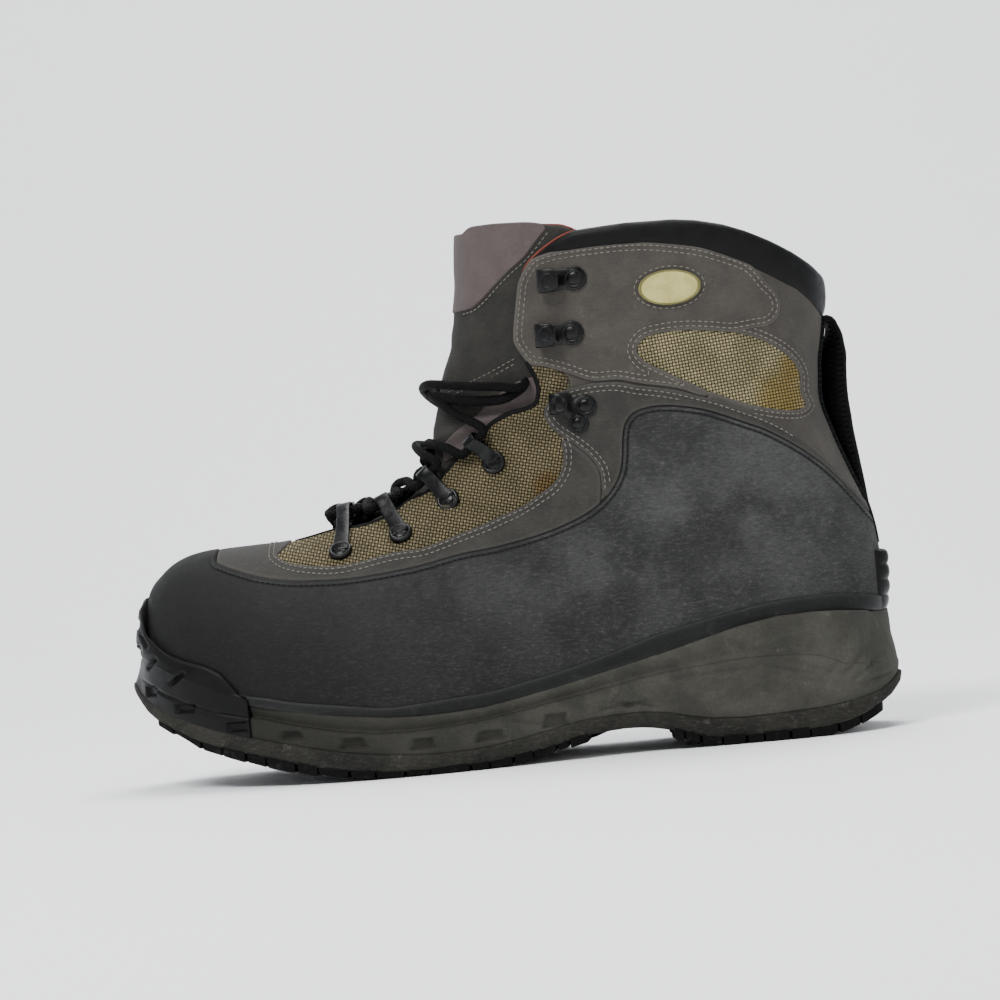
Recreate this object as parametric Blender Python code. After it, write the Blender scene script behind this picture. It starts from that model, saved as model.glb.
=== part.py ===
"""Left wading boot, empty, standing on its sole: toe towards -X, lateral side towards -Y."""

import math

import bmesh
import bpy
import numpy as np
from mathutils import Matrix, Vector

# Driving sizes in metres
LENGTH = 0.322
HEIGHT = 0.222
BALL_WIDTH = 0.1188
CLEARANCE = 0.0003
WALL = 0.0024
PANEL_THICK = 0.0012
SHELL_THICK = 0.0016
RAND_THICK = 0.0022
BUMPER_THICK = 0.0034
BUMPER_RISE = 0.004
CORE_STEP = 0.003
CORE_RISE = 0.02
TONGUE_THICK = 0.003
INSOLE_THICK = 0.004
PAD_THICK = 0.0085
PAD_PROUD = 0.0022
LACE_RADIUS = 0.0022
EYE_RISE = 0.004
STRAP_WIDTH = 0.006
STEP_INSET = 0.0016
CORE_INSET = 0.0075
MIDSOLE_INSET = 0.0012
STEP_LEDGE = 0.0012
WINDOW_DEPTH = 0.0042
LUG_TAPER = 0.0022
GROOVE_STRAIGHT = 0.0165
HEEL_RIB_THICK = 0.0028
BADGE_THICK = 0.0011
PLATE_THICK = 0.0011
PLATE_CORNER = 0.0022
RIVET_SETBACK = 0.0045
STRAP_THICK = 0.0014
EYE_BORE = 0.0027
EYE_WALL = 0.0011
PULL_THICK = 0.002
PULL_WIDTH = 0.018
HALF_SPAN = 0.09
THIN = 0.0004
AROUND_LOW = 6
AROUND_TOP = 8

# The side tables were read on a boot this long, high and wide, and are kept as shares of it.
# They count x from the sole's middle towards the heel, and z from a line TABLE_DROP over the floor.
TABLE_LENGTH = 322.0
TABLE_HEIGHT = 222.0
TABLE_WIDTH = 118.8
TABLE_DROP = 2.0
# Ahead of the toe, behind the heel and over the collar, where outlines of cutters end
AHEAD, BEHIND, OVER = -175.0, 175.0, 238.0
# Upper form, one slanted section a row: back or bottom point, front or top point, half width,
# share of the section where it is widest, squareness below and above it, swing and ridge to medial
FORM_COLUMNS = "back_x back_z front_x front_z half widest low top swing ridge".split()
FORM = (
    (-151.4, 40, -151.2, 71, 9, 0.5, 2.6, 2.2, 11.5, 0),
    (-150.4, 35, -150, 76.8, 17, 0.48, 3, 2.3, 11, 0),
    (-147.6, 31, -147.4, 82.4, 24.5, 0.45, 3.2, 2.3, 10.5, 1),
    (-143.9, 28.5, -143.9, 86, 30, 0.42, 3.4, 2.3, 10, 2),
    (-139.6, 27, -139.6, 89.6, 34, 0.4, 3.4, 2.3, 9.3, 3),
    (-133.9, 25, -133.9, 92.4, 38, 0.38, 3.5, 2.35, 8.4, 3.5),
    (-127.4, 23, -127.4, 94, 41.3, 0.36, 3.5, 2.4, 7.4, 4),
    (-118, 20, -118, 94.9, 45, 0.34, 3.6, 2.4, 6, 4.5),
    (-104.6, 16, -104.6, 95.4, 49, 0.32, 3.8, 2.4, 4, 5),
    (-88, 12, -88, 96.4, 52, 0.31, 4, 2.3, 2, 5),
    (-72, 9, -73, 102, 53.5, 0.31, 4, 2.2, 0.5, 5),
    (-50, 7.5, -57, 105.3, 53, 0.31, 4, 2.1, -2, 5),
    (-25, 7, -46, 109, 50, 0.32, 4, 2.05, -3.5, 4.5),
    (0, 9, -39, 113, 46, 0.35, 3.8, 2, -4.3, 4),
    (25, 13, -33.5, 118.5, 42.5, 0.38, 3.6, 2, -4.5, 3.5),
    (50, 18, -30, 124, 40, 0.42, 3.6, 2, -3.8, 3),
    (75, 22, -28.6, 129, 39, 0.45, 3.6, 2, -2.5, 2.5),
    (100, 26, -28.2, 134, 39, 0.47, 3.6, 2, -1.2, 2),
    (122, 28, -27.8, 138.5, 39.5, 0.48, 3.4, 2, 0, 1.5),
    (141, 31, -26.5, 143, 40.5, 0.48, 3.2, 2, 0, 1),
    (150.5, 40, -25.4, 147, 41, 0.48, 2.9, 2, 0, 0.5),
    (153.9, 54, -24.2, 151.5, 41, 0.48, 2.6, 2, 0, 0),
    (154.6, 71, -23, 157, 41, 0.47, 2.4, 2, 0, 0),
    (151.8, 90, -21, 163, 41.5, 0.46, 2.3, 2, 0, 0),
    (146, 105, -18.2, 170, 42, 0.45, 2.3, 2, 0, 0),
    (140.2, 121, -16.5, 178, 42.8, 0.44, 2.3, 2, 0, 0),
    (136.4, 136, -14.8, 187, 43.8, 0.43, 2.3, 2, 0, 0),
    (137.2, 150, -13.2, 196, 44.8, 0.42, 2.3, 2, 0, 0),
    (139.4, 164, -12.7, 205, 45.6, 0.42, 2.3, 2, 0, 0),
    (141, 177, -12, 213, 46.2, 0.42, 2.3, 2, 0, 0),
    (141.5, 190, -11, 222, 46.8, 0.42, 2.3, 2, 0, 0),
    (141.5, 205, -10.5, 231, 47, 0.42, 2.3, 2, 0, 0),
    (141.5, 228, -10, 243, 47, 0.42, 2.3, 2, 0, 0),
)
# Line where the upper meets the midsole
FEATHER = (
    (-175, 64), (-156, 54), (-150, 50.5), (-140, 45), (-130, 40.5), (-120, 36.4), (-109.6, 32.8),
    (-101.7, 31), (-94.6, 29.2), (-83.9, 26.9), (-73.1, 25), (-53.6, 22.7), (-40, 22.1),
    (-26.4, 22.3), (-12.7, 23.2), (0.9, 25.5), (14.5, 28.2), (28.2, 31.4), (41.8, 34.5),
    (59.6, 37.8), (70, 40.4), (82.2, 43.5), (92.6, 46.1), (108.3, 48.7), (121.3, 49.1),
    (134.3, 48.7), (147.4, 47.4), (156.1, 45.7), (175, 42),
)
# Edge of the opening from the vamp up to the collar
THROAT = (
    (-88, 96.5), (-80.3, 97.8), (-69.6, 99.9), (-55, 101), (-42.7, 106), (-38.5, 109),
    (-29.3, 112.3), (-21, 119.8), (-17.7, 123.2), (-8, 130), (-3.5, 134.8), (-1, 137.3),
    (3, 139.4), (7, 141), (14, 142.3), (18, 144), (19.8, 149), (18.6, 155.7), (15.5, 161.9),
    (11.4, 170.8), (11.7, 175), (12.8, 181.2), (14.1, 188.1), (15.5, 194.3), (18.3, 199.1),
    (22.4, 203.6), (27.2, 205), (39, 206.3),
)
# Lower and upper edge of the padded collar
PAD_LOW = (
    (30, 205.4), (39, 206.3), (56.8, 206.6), (68, 206), (80, 204), (90.4, 201.6), (100, 198),
    (110.4, 192.8), (119.2, 188), (128.8, 182.4), (134.4, 177.6), (139.2, 171.6), (175, 168),
)
PAD_TOP = (
    (30, 212.6), (39.7, 212.9), (60, 213.8), (80, 213.4), (89.6, 212.2), (100, 209.8),
    (109.6, 206.4), (119.2, 202), (128.8, 196.8), (136, 192), (140, 188.8), (175, 182),
)
# Top edge of the rubber coated lower panel
PANEL_LINE = (
    (-119.6, 94.5), (-119.6, 90.6), (-116, 88.5), (-108.9, 85.6), (-101.7, 83.1), (-94.6, 81.4),
    (-87.4, 80.3), (-76.7, 79.7), (-66, 79.4), (-51, 80.3), (-34.3, 82.3), (-17.7, 85.5),
    (-1, 87.5), (15.7, 90.8), (24, 93.2), (32.3, 96.5), (40.7, 101.5), (46.5, 107.5),
    (49.5, 113), (51, 119.5), (51.8, 126.5), (53.4, 132.6), (57.4, 137), (63.2, 138.7),
    (70.4, 138.8), (78.4, 137.6), (86.4, 135.6), (93.6, 132.8), (101.6, 129.2), (109.6, 125.6),
    (117.6, 120.8), (125.6, 115.2), (133.6, 108.4), (143.2, 97.8), (152.6, 86), (175, 58),
)
# Lower edge of the instep mesh, front and top edge of the ankle panel
MESH_LOW = (
    (-93.9, 91), (-91, 88.9), (-86, 87.1), (-80.3, 86), (-69.6, 84.9), (-59, 86), (-51, 87.5),
    (-42.7, 88.6), (-34.3, 89), (-26, 91.1), (-17.7, 93.6), (-9.3, 96.1), (-1, 99), (7.3, 101.9),
    (15.7, 106.5), (22.3, 110.7), (25.7, 114.8), (27.3, 119.8), (27.3, 125.7), (25.7, 129.8),
)
ANKLE_FRONT = (
    (25.7, 147.3), (21.1, 139), (23.2, 134), (27.3, 129.8), (32.3, 125.7), (38.2, 119.8),
    (41.5, 114), (41.9, 109), (41.1, 103.5),
)
ANKLE_TOP = (
    (36, 149.5), (42.4, 150.1), (52.8, 149.6), (60, 147.6), (68, 146), (76, 144), (84, 141.2),
    (92, 138.4), (100, 134.8), (108, 131.2), (116, 126.8), (124, 120.8), (132, 113.6),
    (140, 104.8), (147.2, 96.4), (151, 92), (175, 66),
)
# Outline of a collar panel
COLLAR_PANEL = (
    (18.3, 157.7), (15.5, 161.9), (11.9, 170.8), (12.2, 175), (13.3, 181.2), (14.6, 188.1),
    (16, 194.3), (18.8, 199), (22.6, 203.1), (27.2, 204.5), (39, 205.8), (50, 206),
    (56.8, 206.1), (68, 205.5), (80, 203.5), (90.4, 201.1), (100, 197.5), (110.4, 192.3),
    (116, 184.8), (120, 180), (121.2, 175.2), (119.6, 170.4), (116, 167.6), (108, 166.4),
    (100, 165.6), (92, 166.8), (80, 168), (70.4, 167.6), (64, 166), (61, 161.6), (62.8, 158),
    (68, 154.4), (76, 149.6), (84, 145.2), (92, 141.2), (88, 140.6), (76, 144.8), (60, 148.4),
    (52.8, 150.4), (42.4, 150.9), (39, 151.9), (35.5, 153.6), (29.3, 156.3), (22.4, 158.8),
)
# Tongue edge inside the upper, and its free top
TONGUE_BACK = (
    (-97, 92), (-88, 88), (-76, 86), (-60, 88), (-42, 92), (-26, 98), (-12, 108), (0, 118),
    (10, 126), (20, 134), (30, 142), (38, 152), (39.2, 170), (39.2, 190), (39.2, 213),
)
TONGUE_TOP = (
    (39.2, 213), (33.4, 215.7), (29.3, 216.3), (21, 218.4), (11.4, 219.4), (1, 220.1),
    (-5.2, 219.9), (-8.1, 218.1),
)
# Outline of the toe bumper, top edge of the rand strip
BUMPER = (
    (-175, 78.2), (-149.9, 77.4), (-152.1, 73.9), (-150.6, 68.9), (-148.9, 63.1), (-144.6, 58.1),
    (-140.3, 54.2), (-133.9, 51.4), (-126, 48.9), (-119.6, 45.3), (-116, 40.6), (-112.8, 36.7),
    (-110.6, 33.1), (-109.8, 27.4), (-109.8, 5), (-175, 5),
)
RAND_TOP = (
    (-109.4, 35.6), (-101.7, 34.2), (-91, 31.7), (-80, 30), (-67.3, 28.2), (-53.6, 26.4),
    (-40, 26.8), (-26.4, 27.7), (-12.7, 28.6), (0.9, 30.9), (14.5, 33.6), (28.2, 36.8),
    (41.8, 40.5), (59.6, 45.7), (82.2, 50.4), (103.9, 54.3), (125.7, 55.4), (143, 53.9),
    (151.7, 52.2), (175, 46.5),
)
# Sole, from the midsole's top down to the ground
MIDSOLE_TOP = (
    (-150.5, 47), (-148, 49), (-140, 45), (-130, 40.5), (-120, 36.4), (-109.6, 32.8),
    (-101.7, 31), (-94.6, 29.2), (-83.9, 26.9), (-73.1, 25), (-53.6, 22.7), (-40, 22.1),
    (-26.4, 22.3), (-12.7, 23.2), (0.9, 25.5), (14.5, 28.2), (28.2, 31.4), (41.8, 34.5),
    (59.6, 37.8), (70, 40.4), (82.2, 43.5), (92.6, 46.1), (108.3, 48.7), (121.3, 49.1),
    (134.3, 48.7), (147.4, 47.4), (156.1, 45.7), (158, 38.5), (160, 31.7), (160.9, 27.4),
)
STEP_LINE = (
    (-107.8, 26.7), (-94.6, 23.1), (-83.9, 20.6), (-71.8, 18.2), (-58.2, 16.4), (-44.5, 15.9),
    (-30.9, 16.5), (-17.3, 17.3), (-3.6, 19.1), (10, 21.4), (23.6, 23.6), (37.3, 25.9),
    (50, 28.3), (70, 31), (82.2, 32.2), (92.6, 33), (103.9, 33), (115.2, 32.6), (123.9, 31.3),
    (134.3, 30.5), (150, 29.5), (160.9, 26),
)
BAND_TOP = (
    (-160.9, 43.4), (-159.9, 43), (-156.7, 39.2), (-149.2, 33.1), (-141, 28.9), (-130.3, 24.9),
    (-119.6, 21.4), (-108.9, 18.5), (-94.6, 14.9), (-80.3, 11.8), (-67.3, 9.5), (-53.6, 7.7),
    (-40, 6.5), (-26.4, 6.4), (-12.7, 7.1), (0.9, 9.1), (14.5, 11.8), (28.2, 14.1), (38.7, 14.6),
    (50, 14.8), (60.4, 13.5), (69.1, 11.3), (77.8, 9.6), (90.9, 8.7), (108.3, 9.1), (125.7, 10),
    (138.7, 11.7), (150, 13.9), (155.2, 16.5), (160.9, 20.4),
)
LUG_LINE = (
    (-160.9, 39.5), (-155.3, 32.4), (-148.9, 27.4), (-137.4, 21.7), (-120.3, 17.1),
    (-105.3, 13.1), (-94.6, 9.9), (-80.3, 6.4), (-67.4, 4.6), (-53.6, 2.7), (-35.5, 1.8),
    (-17.3, 2.3), (-3.6, 4.1), (10, 5.9), (23.6, 9.1), (37.3, 10.5), (50, 10.9), (64.8, 8.7),
    (77.8, 4.6), (95.2, 3.6), (117, 4.1), (138.7, 6.8), (155.2, 13.5), (160.9, 18),
)
GROUND_LINE = (
    (-160.9, 39), (-158.9, 35.6), (-154.6, 29.6), (-149.2, 25.3), (-138.1, 19.2), (-130.3, 14.2),
    (-114.6, 9.2), (-100.3, 5), (-83.9, 1.6), (-71, -0.6), (-57, -2), (-12, -2), (-3.6, -1.2),
    (5.5, 0.4), (13.6, 1.9), (28.2, 5), (42.7, 6.2), (55, 4.6), (66, 1.2), (76, -2), (126, -2),
    (134, -0.6), (143, 2.2), (150, 5.2), (155.2, 8.8), (159.6, 12.6), (160.9, 17),
)
# Sole plan: x, then lateral and medial half width
OUTLINE = (
    (-161, -10.7, 16.7), (-160, -5, 22), (-158, 1.3, 27.7), (-155, 8.4, 33.6),
    (-150, 16.3, 39.7), (-145, 22.1, 43.9), (-138, 28.3, 47.7), (-130, 34.1, 50.9),
    (-120, 40.3, 53.7), (-110, 45, 56), (-100, 49.3, 57.7), (-88, 53.8, 59.2),
    (-75, 57.2, 59.6), (-60, 59.1, 58.5), (-45, 59.6, 56), (-25, 57.5, 51.5), (0, 52.6, 44.4),
    (20, 48.3, 39.7), (40, 44.8, 37.2), (60, 43.3, 37.7), (80, 42.8, 40.2), (100, 43.3, 42.7),
    (115, 42.8, 44.2), (127, 41.8, 43.2), (138, 37.8, 39.2), (147, 30.8, 32.2),
    (153, 23.3, 24.7), (157, 16.3, 17.7), (160, 7.3, 8.7), (160.9, 2.3, 3.7),
)
# Recessed windows in the midsole's side: x from and to, z from and to
WINDOWS = ((-98.2, -88, 16.7, 20.3), (-73.8, -62, 11, 15.8), (-45, -34, 8.2, 13.2), (-18.2, -5.5, 9.1, 13.6),
           (9.1, 20.5, 11.8, 17.7))
WINDOW_SLANT = 0.12
# Share of a groove's slant that it has at the sole's edge
GROOVE_LEAN = 0.35
# Lug grooves: x across the sole, width, and slant towards the heel at the side
GROOVES = ((-139.7, 3.5, 12.9), (-123, 3.5, 19.3), (-105.6, 3.2, 22.5), (-87.6, 3.5, 22.5), (-69, 3.5, 19.3),
           (-47.7, 3.5, 12.9), (-21, 3.5, 3.2), (-3.6, 3.5, -3.2), (15, 3.5, -6.4), (64.4, 9.7, 0),
           (92, 3.9, 6.4), (110, 3.9, 9.7), (130, 3.9, 12.9))
# Lace loops: disc x, z, then eye x, z
LOOPS = ((-67, 90.7, -63.8, 103.2), (-41.8, 95.7, -46.7, 105.9), (-21, 107.8, -27, 116.5),
         (-1, 121.5, -7.1, 129.9))
# Where the lace ends go under the collar panels
LACE_END = (14.5, 152)
# Speed hooks: plate x from and to, z from and to, head x, z
HOOKS = ((21.4, 40.5, 165.8, 176.8, 26.9, 171.9), (24.3, 43.5, 188, 198.6, 29.7, 193.2))
# Triple hook: head x, z, then two rivets, and its plate's outline from the head round the lower rivet
TRIPLE = ((29.4, 143), (38.5, 141.3), (35, 134.4))
TRIPLE_PLATE = ((25.9, 146), (25.9, 140.2), (32, 130.4), (38, 131.4), (43, 140.3), (41.5, 145.1), (34.5, 145.5))
# Badge: middle x, z and half length and height
BADGE = (76.4, 186, 12.6, 7)
# Heel piece: from x, up to z
HEEL_RIBS = (149, 70.8)
# Free front of the tongue, closing its outline
TONGUE_FREE = ((-40, 218), (-40, 158), (-90, 123), (-97, 123))
# Pull loop's outer face, top to bottom
PULL_LOOP = ((139.1, 168.3), (145.2, 168.3), (148, 161.6), (148.4, 156), (147.6, 148), (146, 136), (145, 124),
             (145.1, 116.8), (143.6, 110.8), (140.4, 109))
# Turned pieces, by radius and height over their seat
HOOK_GRIP = ((0.0030, 0.0006), (0.0023, 0.0022), (0.0021, 0.0046), (0.0044, 0.0056), (0.0044, 0.0068),
             (0.0024, 0.0076))
RIVET = ((0.0038, 0.0005), (0.0036, 0.0019), (0.0018, 0.0026))
LOOP_DISC = ((0.0046, 0.0002), (0.0046, 0.0014), (0.003, 0.0024))

MATERIALS = {
    "coated_leather": ((0.055, 0.056, 0.058), 0.62),
    "nubuck": ((0.11, 0.095, 0.082), 0.9),
    "mesh_fabric": ((0.24, 0.21, 0.12), 0.9),
    "black_fabric": ((0.03, 0.032, 0.035), 0.7),
    "midsole_foam": ((0.085, 0.083, 0.062), 0.75),
    "black_rubber": ((0.022, 0.023, 0.025), 0.5),
    "lug_rubber": ((0.035, 0.034, 0.031), 0.7),
    "footbed_fabric": ((0.06, 0.06, 0.058), 0.9),
    "badge_rubber": ((0.6, 0.58, 0.28), 0.6),
    "hook_steel": ((0.12, 0.12, 0.125), 0.35),
    "lace_cord": ((0.015, 0.015, 0.016), 0.8),
}


def start_scene():
    """Clear the scene and make one collection for the boot and one for its cutters."""
    for obj in list(bpy.data.objects):
        bpy.data.objects.remove(obj, do_unlink=True)
    homes = []
    for name in ("wading_boot", "wading_boot_cutters"):
        home = bpy.data.collections.new(name)
        bpy.context.scene.collection.children.link(home)
        homes.append(home)
    return homes


BOOT, CUTTERS = start_scene()


def material(slot):
    """One material per node, coloured by its slot."""
    color, roughness = MATERIALS[slot]
    made = bpy.data.materials.new(slot)
    made.use_nodes = True
    shader = made.node_tree.nodes["Principled BSDF"]
    shader.inputs["Base Color"].default_value = (*color, 1.0)
    shader.inputs["Roughness"].default_value = roughness
    shader.inputs["Metallic"].default_value = 1.0 if slot == "hook_steel" else 0.0
    made.diffuse_color = (*color, 1.0)
    return made


def solid(name, points, faces, slot=None):
    """A closed mesh object: a visible node when it has a slot, else a hidden cutter."""
    mesh = bpy.data.meshes.new(name)
    mesh.from_pydata([tuple(point) for point in points], [], faces)
    work = bmesh.new()
    work.from_mesh(mesh)
    bmesh.ops.remove_doubles(work, verts=work.verts, dist=0.00001)
    bmesh.ops.recalc_face_normals(work, faces=work.faces)
    work.to_mesh(mesh)
    work.free()
    obj = bpy.data.objects.new(name, mesh)
    if slot:
        BOOT.objects.link(obj)
        mesh.materials.append(material(slot))
    else:
        CUTTERS.objects.link(obj)
        obj.hide_render = True
        obj.display_type = "WIRE"
    return obj


def combine(body, operation, tool):
    """Add an exact Boolean of the tool to the body."""
    step = body.modifiers.new(operation.lower(), "BOOLEAN")
    step.operation = operation
    step.object = tool
    step.solver = "EXACT"
    return body


def along(value):
    """Metres along the boot for a table's x."""
    return value / TABLE_LENGTH * LENGTH


def across(value):
    """Metres across the boot for a table's width."""
    return value / TABLE_WIDTH * BALL_WIDTH


def spot(x, z):
    """One place of a side table in metres."""
    return tuple(line(((x, z),))[0])


def line(table):
    """Side table in metres."""
    rows = np.array(table, float)
    return np.column_stack((along(rows[:, 0]), (rows[:, 1] + TABLE_DROP) / TABLE_HEIGHT * HEIGHT))


def height(table, x):
    """Height of a side line at x."""
    rows = line(table)
    return float(np.interp(x, rows[:, 0], rows[:, 1]))


def raised(table, rise):
    """Side line moved up by rise."""
    return line(table) + np.array((0.0, rise))


def beside(points, distance):
    """Polyline moved to the left of its direction by distance."""
    points = np.asarray(points, float)
    run = np.gradient(points, axis=0)
    run /= np.linalg.norm(run, axis=1)[:, None]
    return points + distance * np.column_stack((-run[:, 1], run[:, 0]))


def form_rows():
    """The form's sections with every column in metres."""
    rows = []
    for values in FORM:
        row = dict(zip(FORM_COLUMNS, values))
        for key in ("back_x", "front_x"):
            row[key] = along(row[key])
        for key in ("back_z", "front_z"):
            row[key] = (row[key] + TABLE_DROP) / TABLE_HEIGHT * HEIGHT
        for key in ("half", "swing", "ridge"):
            row[key] = across(row[key])
        rows.append(row)
    return rows


def section(row):
    """Closed ring of one section, from its back point round the lateral side and home."""
    low = [0.5 * math.pi * step / AROUND_LOW for step in range(AROUND_LOW)]
    top = [0.5 * math.pi * (1 + step / AROUND_TOP) for step in range(AROUND_TOP + 1)]
    ring = []
    for side in (-1, 1):
        angles = low + top if side < 0 else (low + top)[-2:0:-1]
        for angle in angles:
            cosine = math.cos(angle)
            if cosine >= 0:
                power = 2 / row["low"]
                share = row["widest"] * (1 - cosine ** power)
            else:
                power = 2 / row["top"]
                share = row["widest"] + (1 - row["widest"]) * abs(cosine) ** power
            wide = abs(math.sin(angle)) ** power
            ring.append((
                row["back_x"] + share * (row["front_x"] - row["back_x"]),
                row["swing"] + row["ridge"] * share ** 2 + side * row["half"] * wide,
                row["back_z"] + share * (row["front_z"] - row["back_z"]),
            ))
    return ring


SKIN = np.array([section(row) for row in form_rows()])
RIM = SKIN.shape[1]


def skin_normals(grid):
    """Outward normals of the form at each grid point."""
    around = np.roll(grid, -1, axis=1) - np.roll(grid, 1, axis=1)
    normals = np.cross(around, np.gradient(grid, axis=0))
    normals /= np.linalg.norm(normals, axis=2)[:, :, None] + 1e-12
    outward = grid - grid.mean(axis=1, keepdims=True)
    if np.sum(normals * outward) < 0:
        normals = -normals
    toe = normals[0] * (0.0, 1.0, 1.0)
    normals[0] = toe / np.linalg.norm(toe, axis=1)[:, None] - (1.0, 0.0, 0.0)
    return normals


NORMALS = skin_normals(SKIN)


def grid_faces(rows, rim, closed=False):
    """Triangles between rings, split the same way at every offset, and one face over each end ring."""
    faces = []
    for row in range(rows - 1):
        for step in range(rim):
            after = (step + 1) % rim
            corners = (row * rim + step, row * rim + after,
                       (row + 1) * rim + after, (row + 1) * rim + step)
            faces += [corners[:3], (corners[0], corners[2], corners[3])]
    if not closed:
        faces.append(tuple(range(rim)))
        faces.append(tuple((rows - 1) * rim + step for step in range(rim)))
    return faces


def form(name, offset, slot=None):
    """The upper's form, moved out along its normals by offset."""
    grid = SKIN + offset * NORMALS
    return solid(name, grid.reshape(-1, 3), grid_faces(*grid.shape[:2]), slot)


FORM_CUTTERS = {}


def form_cutter(offset):
    """A hidden form at this offset, made once."""
    key = round(offset, 6)
    if key not in FORM_CUTTERS:
        FORM_CUTTERS[key] = form("form_" + str(round(offset * 1e5)), offset)
    return FORM_CUTTERS[key]


def prism(name, outline, near=-HALF_SPAN, far=HALF_SPAN):
    """A side outline run straight across the boot."""
    outline = [tuple(point) for point in outline]
    count = len(outline)
    points = [(x, near, z) for x, z in outline] + [(x, far, z) for x, z in outline]
    faces = [tuple(range(count)), tuple(range(2 * count - 1, count - 1, -1))]
    for step in range(count):
        after = (step + 1) % count
        faces.append((step, after, count + after, count + step))
    return solid(name, points, faces)


def shell(name, slot, inner, outer, outline, near=-HALF_SPAN, far=HALF_SPAN):
    """The part of the form between two offsets that a side outline keeps."""
    body = form(name, outer, slot)
    combine(body, "INTERSECT", prism(name + "_outline", outline, near, far))
    combine(body, "DIFFERENCE", form_cutter(inner))
    return body


def surface(row, rim, offset):
    """Point of the form at a fractional row and rim step, offset along the normal."""
    row = min(max(row, 0.0), len(SKIN) - 1.001)
    low = int(row)
    step = int(math.floor(rim))
    point = np.zeros(3)
    normal = np.zeros(3)
    for r, weight_r in ((low, 1 - (row - low)), (low + 1, row - low)):
        for s, weight_s in ((step, 1 - (rim - step)), (step + 1, rim - step)):
            point += weight_r * weight_s * SKIN[r, s % RIM]
            normal += weight_r * weight_s * NORMALS[r, s % RIM]
    normal /= np.linalg.norm(normal)
    return Vector(point + offset * normal), Vector(normal)


def find(x, z, side):
    """Fractional row and rim step of the form seen at x, z from one side: -1 lateral, 1 medial."""
    rows, rims = np.meshgrid(np.arange(0, len(SKIN) - 1, 0.1), np.arange(0, RIM / 2, 0.1), indexing="ij")
    low, step = rows.astype(int), rims.astype(int)
    part_row, part_rim = (rows - low)[:, :, None], (rims - step)[:, :, None]
    seen = SKIN[:, :, (0, 2)] if side < 0 else SKIN[:, -np.arange(RIM), :][:, :, (0, 2)]
    near = seen[low, step] * (1 - part_rim) + seen[low, step + 1] * part_rim
    far = seen[low + 1, step] * (1 - part_rim) + seen[low + 1, step + 1] * part_rim
    gaps = np.linalg.norm(near * (1 - part_row) + far * part_row - np.array((x, z)), axis=2)
    at = np.unravel_index(np.argmin(gaps), gaps.shape)
    rim = float(rims[at])
    return float(rows[at]), rim if side < 0 else RIM - rim


def loft(name, rings, slot=None):
    """Closed solid through rings with equal point counts."""
    points = [point for ring in rings for point in ring]
    closed = (Vector(rings[0][0]) - Vector(rings[-1][0])).length < 0.00001
    return solid(name, points, grid_faces(len(rings), len(rings[0]), closed), slot)


def half_widths(x, inset=0.0):
    """Lateral and medial edge of the sole at x, taken in by inset."""
    rows = np.array(OUTLINE, float)
    lateral, medial = (np.interp(x, along(rows[:, 0]), across(rows[:, column])) for column in (1, 2))
    middle = (medial - lateral) / 2
    half = max((lateral + medial) / 2 - inset, across(1.2))
    return middle - half, middle + half


def sole_ring(x, levels):
    """Ring of one sole station: (height, inset) pairs up one side and down the other."""
    sides = [half_widths(x, inset) for _, inset in levels]
    ring = [(x, near, level) for (near, _), (level, _) in zip(sides, levels)]
    ring += [(x, far, level) for (_, far), (level, _) in reversed(list(zip(sides, levels)))]
    return ring


def outline_stations():
    """Places along the sole where its plan was read."""
    return [along(row[0]) for row in OUTLINE]


def make_outsole():
    rings = []
    for x in outline_stations():
        low, mid, top = height(GROUND_LINE, x), height(LUG_LINE, x), height(BAND_TOP, x)
        mid = min(max(mid, low + THIN), top - THIN)
        rings.append(sole_ring(x, ((low, LUG_TAPER), (mid, THIN), (top, 0.0))))
    body = loft("outsole", rings, "lug_rubber")
    for number, (at, width, slant) in enumerate(GROOVES):
        x, half, reach = along(at), along(width) / 2, along(slant)
        points = []
        stations = ((-HALF_SPAN, reach), (-GROOVE_STRAIGHT, 0.0), (GROOVE_STRAIGHT, 0.0), (HALF_SPAN, reach))
        for y, shift in stations:
            for edge in (-half, half):
                top = height(LUG_LINE, x + edge + GROOVE_LEAN * shift)
                points.append((x + edge + shift, y, -HALF_SPAN))
                points.append((x + edge + shift, y, top))
        faces = [(0, 1, 3, 2), (12, 14, 15, 13)]
        for k in (0, 4, 8):
            faces += [(k, k + 4, k + 5, k + 1), (k + 2, k + 3, k + 7, k + 6),
                      (k, k + 2, k + 6, k + 4), (k + 1, k + 5, k + 7, k + 3)]
        combine(body, "DIFFERENCE", solid("groove_%d" % number, points, faces))
    return body


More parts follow.
